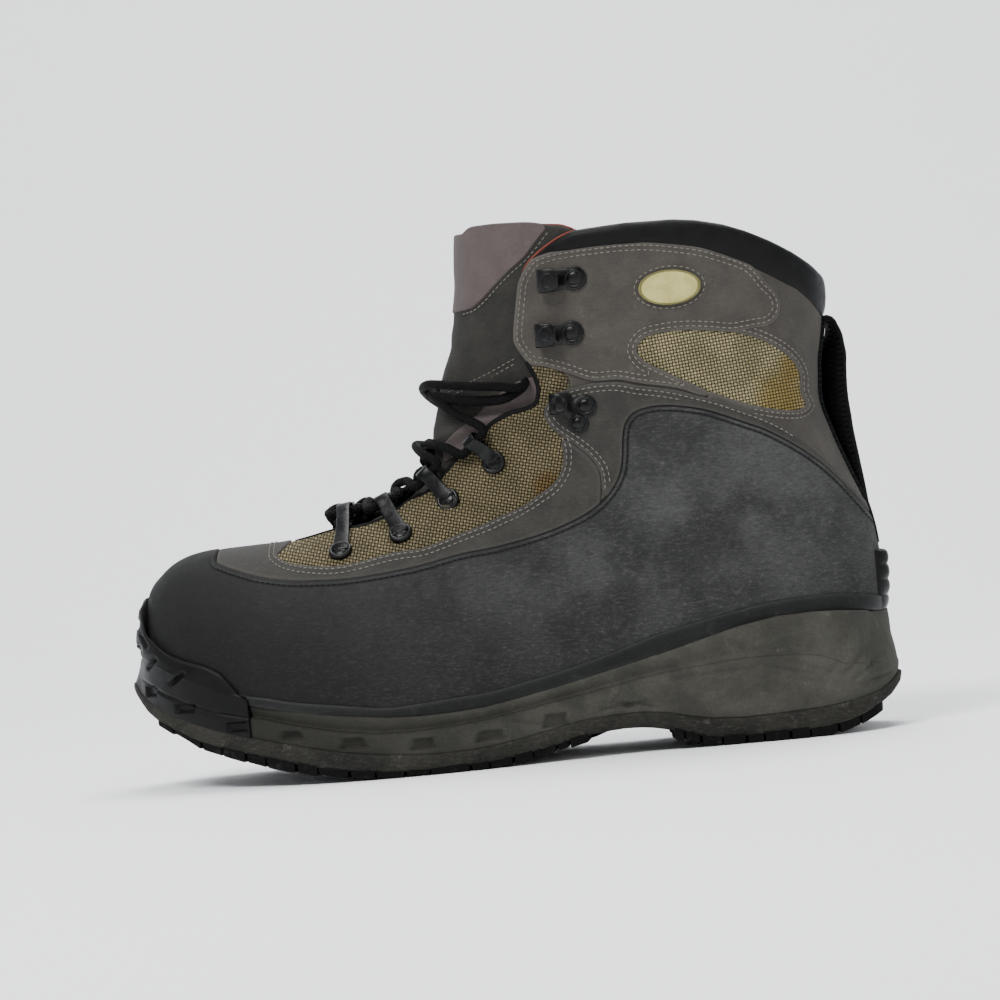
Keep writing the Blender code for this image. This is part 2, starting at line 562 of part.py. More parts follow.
def make_midsole():
    front = line(MIDSOLE_TOP)[0, 0]
    step_at = line(BUMPER)[-3, 0] + 5 * CLEARANCE
    stations = [x for x in outline_stations() if x > front + STEP_LEDGE]
    stations = sorted([front] + stations + [step_at, step_at + CLEARANCE])
    rings = []
    for x in stations:
        inset = CORE_INSET if x <= step_at else MIDSOLE_INSET
        low = height(BAND_TOP, x) + CLEARANCE
        top = max(height(MIDSOLE_TOP, x), low + 4 * THIN)
        step = min(max(height(STEP_LINE, x), low + THIN), top - 3 * THIN)
        rings.append(sole_ring(x, (
            (low, inset + THIN), (step, inset), (min(step + STEP_LEDGE, top - THIN), inset + STEP_INSET),
            (top, inset + STEP_INSET + THIN),
        )))
    body = loft("midsole", rings, "midsole_foam")
    above = [tuple(p) for p in line(FEATHER)] + [spot(BEHIND, OVER), spot(AHEAD, OVER)]
    combine(body, "DIFFERENCE", prism("midsole_top", above))
    for number, (start, end, low, high) in enumerate(WINDOWS):
        (x0, z0), (x1, z1) = line(((start, low), (end, high)))
        middle = (x0 + x1) / 2
        for side in (0, 1):
            edge = half_widths(middle)[side]
            sign = 1 if side else -1
            deep, out = edge - sign * WINDOW_DEPTH, sign * HALF_SPAN
            slant = WINDOW_SLANT * (x1 - x0)
            outline = ((x0, z1), (x1, z1), (x1 - slant, z0), (x0 + slant, z0))
            tool = prism("window_%d_%d" % (number, side), outline, min(deep, out), max(deep, out))
            combine(body, "DIFFERENCE", tool)
    return body


def make_sole():
    make_outsole()
    make_midsole()
    floor = raised(FEATHER, CLEARANCE)
    shell_out = CLEARANCE + SHELL_THICK
    inner = shell_out + CLEARANCE
    bumper_back = line(BUMPER)[-3, 0]
    rand_front = bumper_back + 2 * CLEARANCE
    low = [(rand_front, float(np.interp(rand_front, floor[:, 0], floor[:, 1])))]
    low += [tuple(p) for p in floor if p[0] > rand_front]
    shell("rand", "black_rubber", inner, inner + RAND_THICK, [tuple(p) for p in line(RAND_TOP)] + low[::-1])
    rings = []
    for x in [x for x in outline_stations()[2:] if x < bumper_back] + [bumper_back]:
        base = height(BAND_TOP, x) + CLEARANCE
        top = max(height(FEATHER, x) + BUMPER_RISE, base + THIN)
        rings.append(sole_ring(x, ((base, THIN), ((base + top) / 2, 0.0), (top, 3 * THIN))))
    bumper = loft("toe_bumper", rings, "black_rubber")
    combine(bumper, "UNION", form_cutter(inner + BUMPER_THICK))
    combine(bumper, "INTERSECT", prism("toe_bumper_outline", bumper_outline()))
    combine(bumper, "DIFFERENCE", form_cutter(inner))
    core = []
    for x in np.arange(line(MIDSOLE_TOP)[0, 0] - CLEARANCE, bumper_back + 2 * CORE_STEP, CORE_STEP):
        core.append(sole_ring(x, ((height(BAND_TOP, x) - BUMPER_RISE, CORE_INSET - CLEARANCE),
                                  (height(FEATHER, x) + CORE_RISE, CORE_INSET - CLEARANCE))))
    combine(bumper, "DIFFERENCE", loft("toe_core", core))
    (front, top), (back, _) = spot(*HEEL_RIBS), spot(BEHIND, OVER)
    heel = [(x, height(RAND_TOP, x) + CLEARANCE) for x in (front, back)] + [(back, top), (front, top)]
    shell("heel_bumper", "black_rubber", inner, inner + HEEL_RIB_THICK, heel)


def bumper_outline():
    """The bumper's side outline, with its underside just above the outsole's band."""
    outline = [tuple(p) for p in line(BUMPER)[:-2]]
    band = [(x, z + CLEARANCE) for x, z in line(BAND_TOP) if x < outline[-1][0] - THIN]
    band = [(spot(AHEAD, OVER)[0], band[0][1])] + band
    edge = outline[-1][0]
    outline[-1] = (edge, height(BAND_TOP, edge) + CLEARANCE)
    return outline + band[::-1]


def make_upper():
    feather = raised(FEATHER, CLEARANCE)
    throat = line(THROAT)
    ahead, over = spot(AHEAD, OVER)
    pad = [(x, z - CLEARANCE) for x, z in line(PAD_LOW) if x > throat[-1, 0] + THIN]
    front = [(throat[0, 0], over), (ahead, over)]
    outline = list(feather) + pad[::-1] + [tuple(p) for p in throat[::-1]] + front
    shell("upper", "mesh_fabric", -WALL, 0.0, outline)

    gap, face = CLEARANCE, CLEARANCE + PANEL_THICK
    panel_top = line(PANEL_LINE)
    toe = [(panel_top[0, 0], over), (ahead, over)]
    shell("rubber_shell", "coated_leather", gap, gap + SHELL_THICK,
          list(feather) + [tuple(p) for p in panel_top[::-1]] + toe)

    above = beside(panel_top, gap)
    front_edge = line(ANKLE_FRONT)
    split = front_edge[-1, 0]
    low = [tuple(p) for p in above if p[0] < split - 2 * CLEARANCE]
    mesh = line(MESH_LOW)
    seam = [tuple(p) for p in beside(front_edge, -gap)[2:-1][::-1]]
    low.append((split - CLEARANCE, float(np.interp(split, above[:, 0], above[:, 1]))))
    throat_front = (throat[0, 0] - CLEARANCE, throat[0, 1])
    vamp = [(low[0][0], over)] + low + seam + [tuple(p) for p in mesh[::-1][1:]]
    vamp += [throat_front, (throat_front[0], over)]
    shell("vamp_overlay", "nubuck", gap, face, vamp)

    back = [tuple(p) for p in above if p[0] > split]
    back = [(split + CLEARANCE, float(np.interp(split, above[:, 0], above[:, 1])))] + back
    top = [tuple(p) for p in line(ANKLE_TOP)]
    shell("ankle_overlay", "nubuck", gap, face, back + top[::-1] + [tuple(p) for p in front_edge[:-1]])

    collar = line(COLLAR_PANEL)
    shell("collar_panel_lateral", "nubuck", gap, face, collar, -HALF_SPAN, 0.0)
    shell("collar_panel_medial", "nubuck", gap, face, collar, 0.0, HALF_SPAN)
    middle_x, middle_z, reach_x, reach_z = BADGE
    oval = line([(middle_x + reach_x * math.cos(a), middle_z + reach_z * math.sin(a))
                 for a in np.linspace(0, 2 * math.pi, 20, endpoint=False)])
    shell("badge", "badge_rubber", face + gap, face + gap + BADGE_THICK, oval, -HALF_SPAN, 0.0)

    tongue = line(TONGUE_BACK + TONGUE_TOP[1:] + TONGUE_FREE)
    tongue_out = -WALL - gap
    shell("tongue", "black_fabric", tongue_out - TONGUE_THICK, tongue_out, tongue)

    insole = form("insole", tongue_out, "footbed_fabric")
    cover = raised(FEATHER, gap + INSOLE_THICK)
    combine(insole, "INTERSECT", prism("insole_outline", list(feather) + list(cover[::-1])))


def crossing(rim, table):
    """Fractional row where the rim line of the form crosses a side line upwards."""
    rows = line(table)
    best = None
    for row in np.arange(len(SKIN) // 2, len(SKIN) - 1, 0.02):
        point = surface(row, rim, 0)[0]
        gap = point.z - float(np.interp(point.x, rows[:, 0], rows[:, 1]))
        if best is None or abs(gap) < best[0]:
            best = (abs(gap), row)
    return best[1]


def make_collar_pad():
    """A rolled padded edge round the collar, open at the throat."""
    edge = line(PAD_TOP)[1, 0]
    rims = []
    for rim in np.arange(0, RIM / 2, 0.02):
        if surface(crossing(rim, PAD_TOP), rim, 0)[0].x < edge:
            break
        rims.append(rim)
    reach = rims[-1]
    rings = []
    for rim in np.linspace(-reach, reach, 25):
        low, high = crossing(rim % RIM, PAD_LOW), crossing(rim % RIM, PAD_TOP)
        ring = []
        for angle in np.linspace(0, 2 * math.pi, 12, endpoint=False):
            up = math.copysign(abs(math.cos(angle)) ** 0.6, math.cos(angle))
            out = math.copysign(abs(math.sin(angle)) ** 0.8, math.sin(angle))
            row = (low + high) / 2 + up * (high - low) / 2
            middle = PAD_PROUD - PAD_THICK / 2
            ring.append(surface(row, rim % RIM, middle + out * PAD_THICK / 2)[0])
        rings.append(ring)
    pad = loft("collar_pad", rings, "black_fabric")
    seat = line(((AHEAD, PAD_LOW[0][1]),) + PAD_LOW + ((BEHIND, OVER), (AHEAD, OVER)))
    return combine(pad, "INTERSECT", prism("collar_pad_seat", seat))


def frame_at(place, offset):
    """Matrix on the skin: local Z outwards, local X along the boot."""
    point, normal = surface(*place, offset)
    forward = Vector((1, 0, 0))
    forward = (forward - forward.dot(normal) * normal).normalized()
    turn = Matrix((forward, normal.cross(forward), normal)).transposed().to_4x4()
    turn.translation = point
    return turn


def spun(name, profile, matrix, segments=12, slot=None):
    """A profile of (radius, height) pairs turned round the matrix's Z axis."""
    rings = []
    for radius, level in profile:
        ring = []
        for step in range(segments):
            angle = 2 * math.pi * step / segments
            ring.append(matrix @ Vector((radius * math.cos(angle), radius * math.sin(angle), level)))
        rings.append(ring)
    return loft(name, rings, slot)


def make_hooks(side, label):
    """Two speed hooks and one triple hook on one side."""
    sign = -HALF_SPAN if side < 0 else HALF_SPAN
    seat = 2 * CLEARANCE + PANEL_THICK
    for number, (x0, x1, z0, z1, hx, hz) in enumerate(HOOKS):
        corners = line(((x0, z0), (x1, z0), (x1, z1), (x0, z1)))
        outline = []
        for (cx, cz), (sx, sz) in zip(corners, ((1, 1), (-1, 1), (-1, -1), (1, -1))):
            first, second = (cx, cz + sz * PLATE_CORNER), (cx + sx * PLATE_CORNER, cz)
            outline += [first, second] if sx * sz > 0 else [second, first]
        name = "hook_%s_%d" % (label, number + 1)
        plate = shell(name, "hook_steel", seat, seat + PLATE_THICK, outline, min(sign, 0), max(sign, 0))
        tail = (corners[1][0] - RIVET_SETBACK, (corners[1][1] + corners[2][1]) / 2)
        combine(plate, "UNION", spun(name + "_head", HOOK_GRIP, frame_at(find(*spot(hx, hz), side), seat)))
        combine(plate, "UNION", spun(name + "_rivet", RIVET, frame_at(find(*tail, side), seat), 10))
    name = "triple_hook_" + label
    head, *rivets = line(TRIPLE)
    outline = line(TRIPLE_PLATE)
    plate = shell(name, "hook_steel", seat, seat + PLATE_THICK, outline, min(sign, 0), max(sign, 0))
    combine(plate, "UNION", spun(name + "_head", HOOK_GRIP, frame_at(find(*head, side), seat)))
    for number, place in enumerate(rivets):
        tool = spun("%s_rivet_%d" % (name, number), RIVET, frame_at(find(*place, side), seat), 10)
        combine(plate, "UNION", tool)


EYES = {-1: [], 1: []}


def make_loops(side, label):
    """Webbing loops: a disc on the upper, a strap, and an eye over the throat's edge."""
    for number, (bx, bz, ex, ez) in enumerate(LOOPS):
        (base_x, base_z), (eye_x, eye_z) = line(((bx, bz), (ex, ez)))
        base, eye = find(base_x, base_z, side), find(eye_x, eye_z, side)
        low = 2 * CLEARANCE
        matrix = frame_at(base, low)
        name = "loop_%s_%d" % (label, number + 1)
        body = spun(name, LOOP_DISC, matrix, 12, "hook_steel")
        start = surface(*base, low + STRAP_THICK)[0]
        end, rise = surface(*eye, EYE_RISE)
        forward = (end - start).normalized()
        stop = 1 - (EYE_BORE + EYE_WALL / 2) / (end - start).length
        rings = []
        for share in (0.0, stop / 2, stop):
            place = [first + share * (last - first) for first, last in zip(base, eye)]
            lift = low + STRAP_THICK + share * (EYE_RISE - low - STRAP_THICK)
            point, normal = surface(*place, lift)
            wide = forward.cross(normal).normalized() * STRAP_WIDTH / 2
            thick = normal * STRAP_THICK / 2
            corners = ((-1, -1), (1, -1), (1, 1), (-1, 1))
            rings.append([point + a * wide + b * thick for a, b in corners])
        combine(body, "UNION", loft(name + "_strap", rings))
        axis = forward.cross(rise).normalized()
        EYES[side].append((end, axis if axis.x > 0 else -axis))
        turn = Matrix((rise, axis.cross(rise), axis)).transposed().to_4x4()
        turn.translation = end
        reach, outer = STRAP_WIDTH / 2, EYE_BORE + EYE_WALL
        wall = ((EYE_BORE, -reach), (outer, -reach), (outer, reach), (EYE_BORE, reach), (EYE_BORE, -reach))
        combine(body, "UNION", spun(name + "_eye", wall, turn, 12))


def tube(name, path, radius, slot=None, sides=6):
    """A round cord along a path."""
    rings = []
    for number, point in enumerate(path):
        before, after = path[max(number - 1, 0)], path[min(number + 1, len(path) - 1)]
        forward = (after - before).normalized()
        first = forward.cross(Vector((0.3, 0.2, 1))).normalized()
        second = forward.cross(first)
        rings.append([point + radius * (math.cos(a) * first + math.sin(a) * second)
                      for a in np.linspace(0, 2 * math.pi, sides, endpoint=False)])
    return loft(name, rings, slot)


def over_tongue(start, end, middle):
    """Points of a lace run between two places on the form, dipping to the middle offset."""
    points = []
    for share in (0.12, 0.3, 0.5, 0.7, 0.88):
        place = [first + share * (last - first) for first, last in zip(start, end)]
        rise = middle + (EYE_RISE - middle) * abs(2 * share - 1) ** 1.5
        points.append(surface(*place, rise)[0])
    return points


def make_lace():
    """One lace through the eight eyes, each right-hand run crossing over the other."""
    low = LACE_RADIUS + 4 * CLEARANCE - WALL
    high = low + 2 * LACE_RADIUS + 2 * CLEARANCE
    runs = []
    for first_side, middle in ((-1, high), (1, low)):
        path, side, place = [], first_side, None
        for number in range(4):
            centre, axis = EYES[side][number]
            before, after = centre - axis * STRAP_WIDTH, centre + axis * STRAP_WIDTH
            if place:
                path += over_tongue(place, find(before.x, before.z, side), middle)
            path += [before, centre, after]
            place = find(after.x, after.z, side)
            side = -side
        notch = find(*spot(*LACE_END), side)
        path += over_tongue(place, notch, middle)
        path.append(surface(*notch, low + 2 * CLEARANCE)[0])
        runs.append(path)
    first, second = runs
    start, end = (find(point.x, point.z, side) for point, side in ((second[0], 1), (first[0], -1)))
    tube("lace", second[::-1] + over_tongue(start, end, low) + first, LACE_RADIUS, "lace_cord")


def make_pull_loop():
    outer = line(PULL_LOOP)
    inner = beside(outer, -PULL_THICK)
    outline = [tuple(p) for p in outer] + [tuple(p) for p in inner[::-1]]
    body = prism("pull_loop_outline", outline, -PULL_WIDTH / 2, PULL_WIDTH / 2)
    BOOT.objects.link(body)
    CUTTERS.objects.unlink(body)
    body.name = "pull_loop"
    body.hide_render = False
    body.display_type = "TEXTURED"
    body.data.materials.append(material("black_fabric"))
    combine(body, "DIFFERENCE", form_cutter(CLEARANCE))


make_sole()
make_upper()
make_collar_pad()
make_pull_loop()
for side, label in ((-1, "lateral"), (1, "medial")):
    make_hooks(side, label)
    make_loops(side, label)
make_lace()
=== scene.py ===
"""Looks of the left wading boot: panels, mesh, padding, stitching, lacing, hardware and sole."""

import math

import bmesh
import bpy
import numpy as np
from mathutils import Matrix, Vector
from mathutils.bvhtree import BVHTree


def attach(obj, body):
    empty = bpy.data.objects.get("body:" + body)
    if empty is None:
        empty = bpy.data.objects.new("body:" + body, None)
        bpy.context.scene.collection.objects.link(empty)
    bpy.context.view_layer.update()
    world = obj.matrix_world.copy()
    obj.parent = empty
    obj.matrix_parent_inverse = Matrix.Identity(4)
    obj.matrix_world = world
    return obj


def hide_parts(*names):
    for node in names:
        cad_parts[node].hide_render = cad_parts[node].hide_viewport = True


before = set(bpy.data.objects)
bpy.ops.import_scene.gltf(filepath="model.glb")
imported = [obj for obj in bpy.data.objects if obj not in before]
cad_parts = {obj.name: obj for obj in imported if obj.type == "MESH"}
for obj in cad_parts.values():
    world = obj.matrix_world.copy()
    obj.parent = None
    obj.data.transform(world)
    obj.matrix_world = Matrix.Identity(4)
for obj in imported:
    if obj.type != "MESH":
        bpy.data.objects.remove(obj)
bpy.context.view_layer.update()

# Side tables are in millimetres: x from the middle of the sole to the heel, z from a line this far over
# the floor
MM = 0.001
FLOOR_DROP = 2.0
GRID_ROWS = 350
GRID_RIM = 248

# Upper form: back or bottom point, front or top point, half width, widest share, squareness, swing, ridge
FORM = (
    (-151.4, 40, -151.2, 71, 9, .5, 2.6, 2.2, 11.5, 0),
    (-150.4, 35, -150.0, 76.8, 17, .48, 3, 2.3, 11, 0),
    (-147.6, 31, -147.4, 82.4, 24.5, .45, 3.2, 2.3, 10.5, 1),
    (-143.9, 28.5, -143.9, 86, 30, .42, 3.4, 2.3, 10, 2),
    (-139.6, 27, -139.6, 89.6, 34, .40, 3.4, 2.3, 9.3, 3),
    (-133.9, 25, -133.9, 92.4, 38, .38, 3.5, 2.35, 8.4, 3.5),
    (-127.4, 23, -127.4, 94, 41.3, .36, 3.5, 2.4, 7.4, 4),
    (-118, 20, -118, 94.9, 45, .34, 3.6, 2.4, 6, 4.5),
    (-104.6, 16, -104.6, 95.4, 49, .32, 3.8, 2.4, 4, 5),
    (-88, 12, -88, 96.4, 52, .31, 4, 2.3, 2, 5),
    (-72, 9, -73, 102.0, 53.5, .31, 4, 2.2, 0.5, 5),
    (-50, 7.5, -57, 105.3, 53, .31, 4, 2.1, -2, 5),
    (-25, 7, -46, 109, 50, .32, 4, 2.05, -3.5, 4.5),
    (0, 9, -39, 113, 46, .35, 3.8, 2.0, -4.3, 4),
    (25, 13, -33.5, 118.5, 42.5, .38, 3.6, 2.0, -4.5, 3.5),
    (50, 18, -30, 124, 40, .42, 3.6, 2.0, -3.8, 3),
    (75, 22, -28.6, 129, 39, .45, 3.6, 2.0, -2.5, 2.5),
    (100, 26, -28.2, 134, 39, .47, 3.6, 2.0, -1.2, 2),
    (122, 28, -27.8, 138.5, 39.5, .48, 3.4, 2.0, 0, 1.5),
    (141, 31, -26.5, 143, 40.5, .48, 3.2, 2.0, 0, 1),
    (150.5, 40, -25.4, 147, 41, .48, 2.9, 2.0, 0, 0.5),
    (153.9, 54, -24.2, 151.5, 41, .48, 2.6, 2.0, 0, 0),
    (154.6, 71, -23, 157, 41, .47, 2.4, 2.0, 0, 0),
    (151.8, 90, -21, 163, 41.5, .46, 2.3, 2.0, 0, 0),
    (146, 105, -18.2, 170, 42, .45, 2.3, 2.0, 0, 0),
    (140.2, 121, -16.5, 178, 42.8, .44, 2.3, 2.0, 0, 0),
    (136.4, 136, -14.8, 187, 43.8, .43, 2.3, 2.0, 0, 0),
    (137.2, 150, -13.2, 196, 44.8, .42, 2.3, 2.0, 0, 0),
    (139.4, 164, -12.7, 205, 45.6, .42, 2.3, 2.0, 0, 0),
    (141, 177, -12, 213, 46.2, .42, 2.3, 2.0, 0, 0),
    (141.5, 190, -11, 222, 46.8, .42, 2.3, 2.0, 0, 0),
    (141.5, 205, -10.5, 231, 47, .42, 2.3, 2.0, 0, 0),
    (141.5, 228, -10, 243, 47, .42, 2.3, 2.0, 0, 0),
)
# Line where the upper meets the midsole
FEATHER = ((-175, 64), (-156, 54), (-150, 50.5), (-140, 45), (-130, 40.5), (-120, 36.4), (-109.6, 32.8),
           (-94.6, 29.2), (-83.9, 26.9), (-73.1, 25), (-53.6, 22.7), (-40, 22.1), (-26.4, 22.3),
           (-12.7, 23.2), (0.9, 25.5), (14.5, 28.2), (28.2, 31.4), (41.8, 34.5), (59.6, 37.8),
           (82.2, 43.5), (92.6, 46.1), (108.3, 48.7), (121.3, 49.1), (134.3, 48.7), (147.4, 47.4),
           (156.1, 45.7), (175, 42))
THROAT_LOW = ((-88, 96.5), (-80.3, 97.8), (-69.6, 99.9), (-55, 101), (-42.7, 106), (-38.5, 109),
              (-29.3, 112.3), (-21, 119.8), (-17.7, 123.2), (-8, 130), (-3.5, 134.8), (-1, 137.3),
              (3, 139.4), (7, 141), (14, 142.3), (18, 144), (19.8, 149), (18.6, 155.7), (15.5, 161.9))
FLAP_EDGE = ((15.5, 161.9), (11.4, 170.8), (11.7, 175), (12.8, 181.2), (14.1, 188.1), (15.5, 194.3),
             (18.3, 199.1), (22.4, 203.6), (27.2, 205), (39, 206.3))
PAD_LOW = ((16, 198), (20, 201.4), (23, 203.2), (28, 204.6), (39, 206.1), (56.8, 206.6), (68, 206), (80, 204),
           (90.4, 201.6), (100, 198), (110.4, 192.8), (119.2, 188), (128.8, 182.4), (134.4, 177.6),
           (139.2, 171.6), (175, 168))
PAD_TOP = ((16, 198.6), (20, 202), (23, 204.4), (28, 207.6), (33, 210.4), (39.7, 212.9), (60, 213.8),
           (80, 213.4), (89.6, 212.2), (100, 209.8), (109.6, 206.4), (119.2, 202), (128.8, 196.8), (136, 192),
           (140, 188.8), (175, 182))
PANEL_LINE = ((-119.6, 94.5), (-119.6, 90.6), (-116, 88.5), (-108.9, 85.6), (-101.7, 83.1),
              (-94.6, 81.4), (-87.4, 80.3), (-76.7, 79.7), (-66, 79.4), (-51, 80.3), (-34.3, 82.3),
              (-17.7, 85.5), (-1, 87.5), (15.7, 90.8), (24, 93.2), (32.3, 96.5), (40.7, 101.5),
              (46.5, 107.5), (49.5, 113), (51, 119.5), (51.8, 126.5), (53.4, 132.6), (57.4, 137),
              (63.2, 138.7), (70.4, 138.8), (78.4, 137.6), (86.4, 135.6), (93.6, 132.8), (101.6, 129.2),
              (109.6, 125.6), (117.6, 120.8), (125.6, 115.2), (133.6, 108.4), (143.2, 97.8),
              (152.6, 86), (175, 58))
MESH_LOW = ((-93.9, 91), (-91, 88.9), (-86, 87.1), (-80.3, 86), (-69.6, 84.9), (-59, 86), (-51, 87.5),
            (-42.7, 88.6), (-34.3, 89), (-26, 91.1), (-17.7, 93.6), (-9.3, 96.1), (-1, 99),
            (7.3, 101.9), (15.7, 106.5), (22.3, 110.7), (25.7, 114.8), (27.3, 119.8), (27.3, 125.7),
            (25.7, 129.8))
ANKLE_FRONT = ((25.7, 147.3), (21.1, 139), (23.2, 134), (27.3, 129.8), (32.3, 125.7), (38.2, 119.8),
               (41.5, 114), (41.9, 109), (41.1, 103.5))
ANKLE_TOP = ((36, 149.5), (42.4, 150.1), (52.8, 149.6), (60, 147.6), (68, 146), (76, 144), (84, 141.2),
             (92, 138.4), (100, 134.8), (108, 131.2), (116, 126.8), (124, 120.8), (132, 113.6),
             (140, 104.8), (147.2, 96.4), (151, 92), (175, 66))
FLAP_FRONT = ((17.6, 159.8), (15.5, 162.9), (11.9, 170.8), (12.2, 175), (13.3, 181.2), (14.6, 188.1),
              (16, 194.3), (18.8, 199), (22.6, 203.1), (27.2, 204.5), (39, 205.8))
FLAP_TOP = ((39, 205.8), (50, 206), (56.8, 206.1), (68, 205.5), (80, 203.5), (90.4, 201.1),
            (100, 197.5), (110.4, 192.3), (116, 184.8), (120, 180), (121.2, 175.2), (119.6, 170.4),
            (116, 167.6), (108, 166.4))
WINDOW_TOP = ((108, 166.4), (100, 165.6), (92, 166.8), (80, 168), (70.4, 167.6), (64, 166),
              (61, 161.6), (62.8, 158), (68, 154.4), (76, 149.6), (84, 145.2), (92, 141.2))
FLAP_LOW = ((92, 141.2), (88, 140.6), (76, 144.8), (60, 148.4), (52.8, 150.4), (42.4, 150.9),
            (39, 151.9), (35.5, 153.6), (29.3, 156.3), (22.4, 158.8), (17.6, 159.8))
WINDOW_LOW = ((92, 141.2), (100, 137.6), (108, 134.8), (114.4, 133.2), (120.8, 132), (127.2, 132.4),
              (128.8, 133.6), (127.6, 136), (126.8, 140), (127.2, 145.6), (125.6, 150.4),
              (122.4, 154.4), (116, 159.2), (108, 163.2), (100, 165.6))
TONGUE_BACK = ((-97, 92), (-88, 88), (-76, 86), (-60, 88), (-42, 92), (-26, 98), (-12, 108), (0, 118),
               (10, 126), (20, 134), (30, 142), (38, 152), (39.2, 170), (39.2, 190), (39.2, 213))
TONGUE_TOP = ((39.2, 213), (33.4, 215.7), (29.3, 216.3), (21, 218.4), (11.4, 219.4), (1, 220.1),
              (-5.2, 219.9), (-8.1, 218.1))
BUMPER_EDGE = ((-149.9, 77.4), (-150.9, 73.9), (-150.6, 68.9), (-148.9, 63.1), (-144.6, 58.1),
               (-140.3, 54.2), (-133.9, 51.4), (-126, 48.9), (-119.6, 45.3), (-116, 40.6),
               (-112.8, 36.7), (-110.6, 33.1), (-109.8, 27.4), (-109.8, 18))
RAND_TOP = ((-109.4, 35.6), (-101.7, 34.2), (-91, 31.7), (-80, 30), (-67.3, 28.2), (-53.6, 26.4),
            (-40, 26.8), (-26.4, 27.7), (-12.7, 28.6), (0.9, 30.9), (14.5, 33.6), (28.2, 36.8),
            (41.8, 40.5), (59.6, 45.7), (82.2, 50.4), (103.9, 54.3), (125.7, 55.4), (143, 53.9),
            (151.7, 52.2), (175, 46.5))
MIDSOLE_TOP = ((-150.5, 47), (-148, 49)) + FEATHER[3:-1] + ((158, 38.5), (160, 31.7), (160.9, 27.4))
STEP_LINE = ((-107.8, 26.7), (-94.6, 23.1), (-83.9, 20.6), (-71.8, 18.2), (-58.2, 16.4), (-44.5, 15.9),
             (-30.9, 16.5), (-17.3, 17.3), (-3.6, 19.1), (10, 21.4), (23.6, 23.6), (37.3, 25.9),
             (50, 28.3), (70, 31), (82.2, 32.2), (92.6, 33), (103.9, 33), (115.2, 32.6), (123.9, 31.3),
             (130, 29.1), (134.3, 26.8), (150, 25.5), (160.9, 24))
BAND_TOP = ((-160.9, 43.4), (-159.9, 43), (-156.7, 39.2), (-149.2, 33.1), (-141, 28.9), (-130.3, 24.9),
            (-119.6, 21.4), (-108.9, 18.5), (-94.6, 14.9), (-80.3, 11.8), (-67.3, 9.5), (-53.6, 7.7),
            (-40, 6.5), (-26.4, 6.4), (-12.7, 7.1), (0.9, 9.1), (14.5, 11.8), (28.2, 14.1),
            (38.7, 14.6), (50, 14.8), (60.4, 13.5), (69.1, 11.3), (77.8, 9.6), (90.9, 8.7),
            (108.3, 9.1), (125.7, 10), (138.7, 11.7), (150, 13.9), (155.2, 16.5), (160.9, 20.4))
LUG_LINE = ((-160.9, 39.5), (-155.3, 32.4), (-148.9, 27.4), (-137.4, 21.7), (-120.3, 17.1),
            (-105.3, 13.1), (-94.6, 9.9), (-80.3, 6.4), (-67.4, 4.6), (-53.6, 2.7), (-35.5, 1.8),
            (-17.3, 2.3), (-3.6, 4.1), (10, 5.9), (23.6, 9.1), (37.3, 10.5), (50, 10.9), (64.8, 8.7),
            (77.8, 4.6), (95.2, 3.6), (117, 4.1), (138.7, 6.8), (155.2, 13.5), (160.9, 18))
GROUND_LINE = ((-160.9, 39), (-158.9, 35.6), (-154.6, 29.6), (-149.2, 25.3), (-138.1, 19.2),
               (-130.3, 14.2), (-114.6, 9.2), (-100.3, 5), (-83.9, 1.6), (-71, -0.6), (-57, -2),
               (-12, -2), (-3.6, -1.2), (5.5, 0.4), (13.6, 1.9), (28.2, 5), (42.7, 6.2), (55, 4.6),
               (66, 1.2), (76, -2), (126, -2), (134, -0.6), (143, 2.2), (150, 5.2), (155.2, 8.8),
               (159.6, 12.6), (160.9, 17))
# Sole plan: x, middle and half width
OUTLINE = ((-161, 13, 3), (-160, 12.8, 8.5), (-158, 12.4, 14.5), (-155, 11.9, 21), (-150, 11, 28),
           (-145, 10.2, 33), (-138, 9, 38), (-130, 7.7, 42.5), (-120, 6, 47), (-110, 4.7, 50.5),
           (-100, 3.5, 53.5), (-88, 2, 56.5), (-75, 0.5, 58.4), (-60, -1, 58.8), (-45, -2.5, 57.8),
           (-25, -3.8, 54.5), (0, -4.8, 48.5), (20, -5, 44), (40, -4.5, 41), (60, -3.5, 40.5),
           (80, -2, 41.5), (100, -1, 43), (115, 0, 43.5), (127, 0, 42.5), (138, 0, 38.5),
           (147, 0, 31.5), (153, 0, 24), (157, 0, 17), (160, 0, 8), (160.9, 0, 3))
PLAN_SHIFT = 0.7

# Thickness of the wall, of the nubuck panels and of the coated panel, and the bare cloth's
WALL = 0.0024
PANEL = 0.0012
COATED = 0.0016
CLOTH = 0.0001
# Rows of points round a panel's rolled rim
RIM_STEPS = 3


def metres(points):
    """Side points of the tables in metres."""
    return (np.array(points, float) + (0, FLOOR_DROP)) * MM


def lengths(path):
    """Length along a path at each of its points."""
    return np.concatenate(([0], np.cumsum(np.linalg.norm(np.diff(path, axis=0), axis=1))))


def resampled(path, count):
    """Even points along a path."""
    length = lengths(path)
    even = np.linspace(0, length[-1], count)
    return np.column_stack([np.interp(even, length, column) for column in path.T])


def unit(vectors):
    return vectors / np.linalg.norm(vectors, axis=-1, keepdims=True)


def grid_faces(rows, count, start=0, closed=True):
    """Quads through rows of points, round the rim where closed."""
    return [[start + i * count + j, start + i * count + (j + 1) % count,
             start + (i + 1) * count + (j + 1) % count, start + (i + 1) * count + j]
            for i in range(rows - 1) for j in range(count if closed else count - 1)]


def linked(obj):
    bpy.context.scene.collection.objects.link(obj)
    return obj


def heights(table, x):
    """Height in metres of a side line at x in metres."""
    rows = np.array(table, float)
    return np.interp(x, rows[:, 0] * MM, (rows[:, 1] + FLOOR_DROP) * MM)


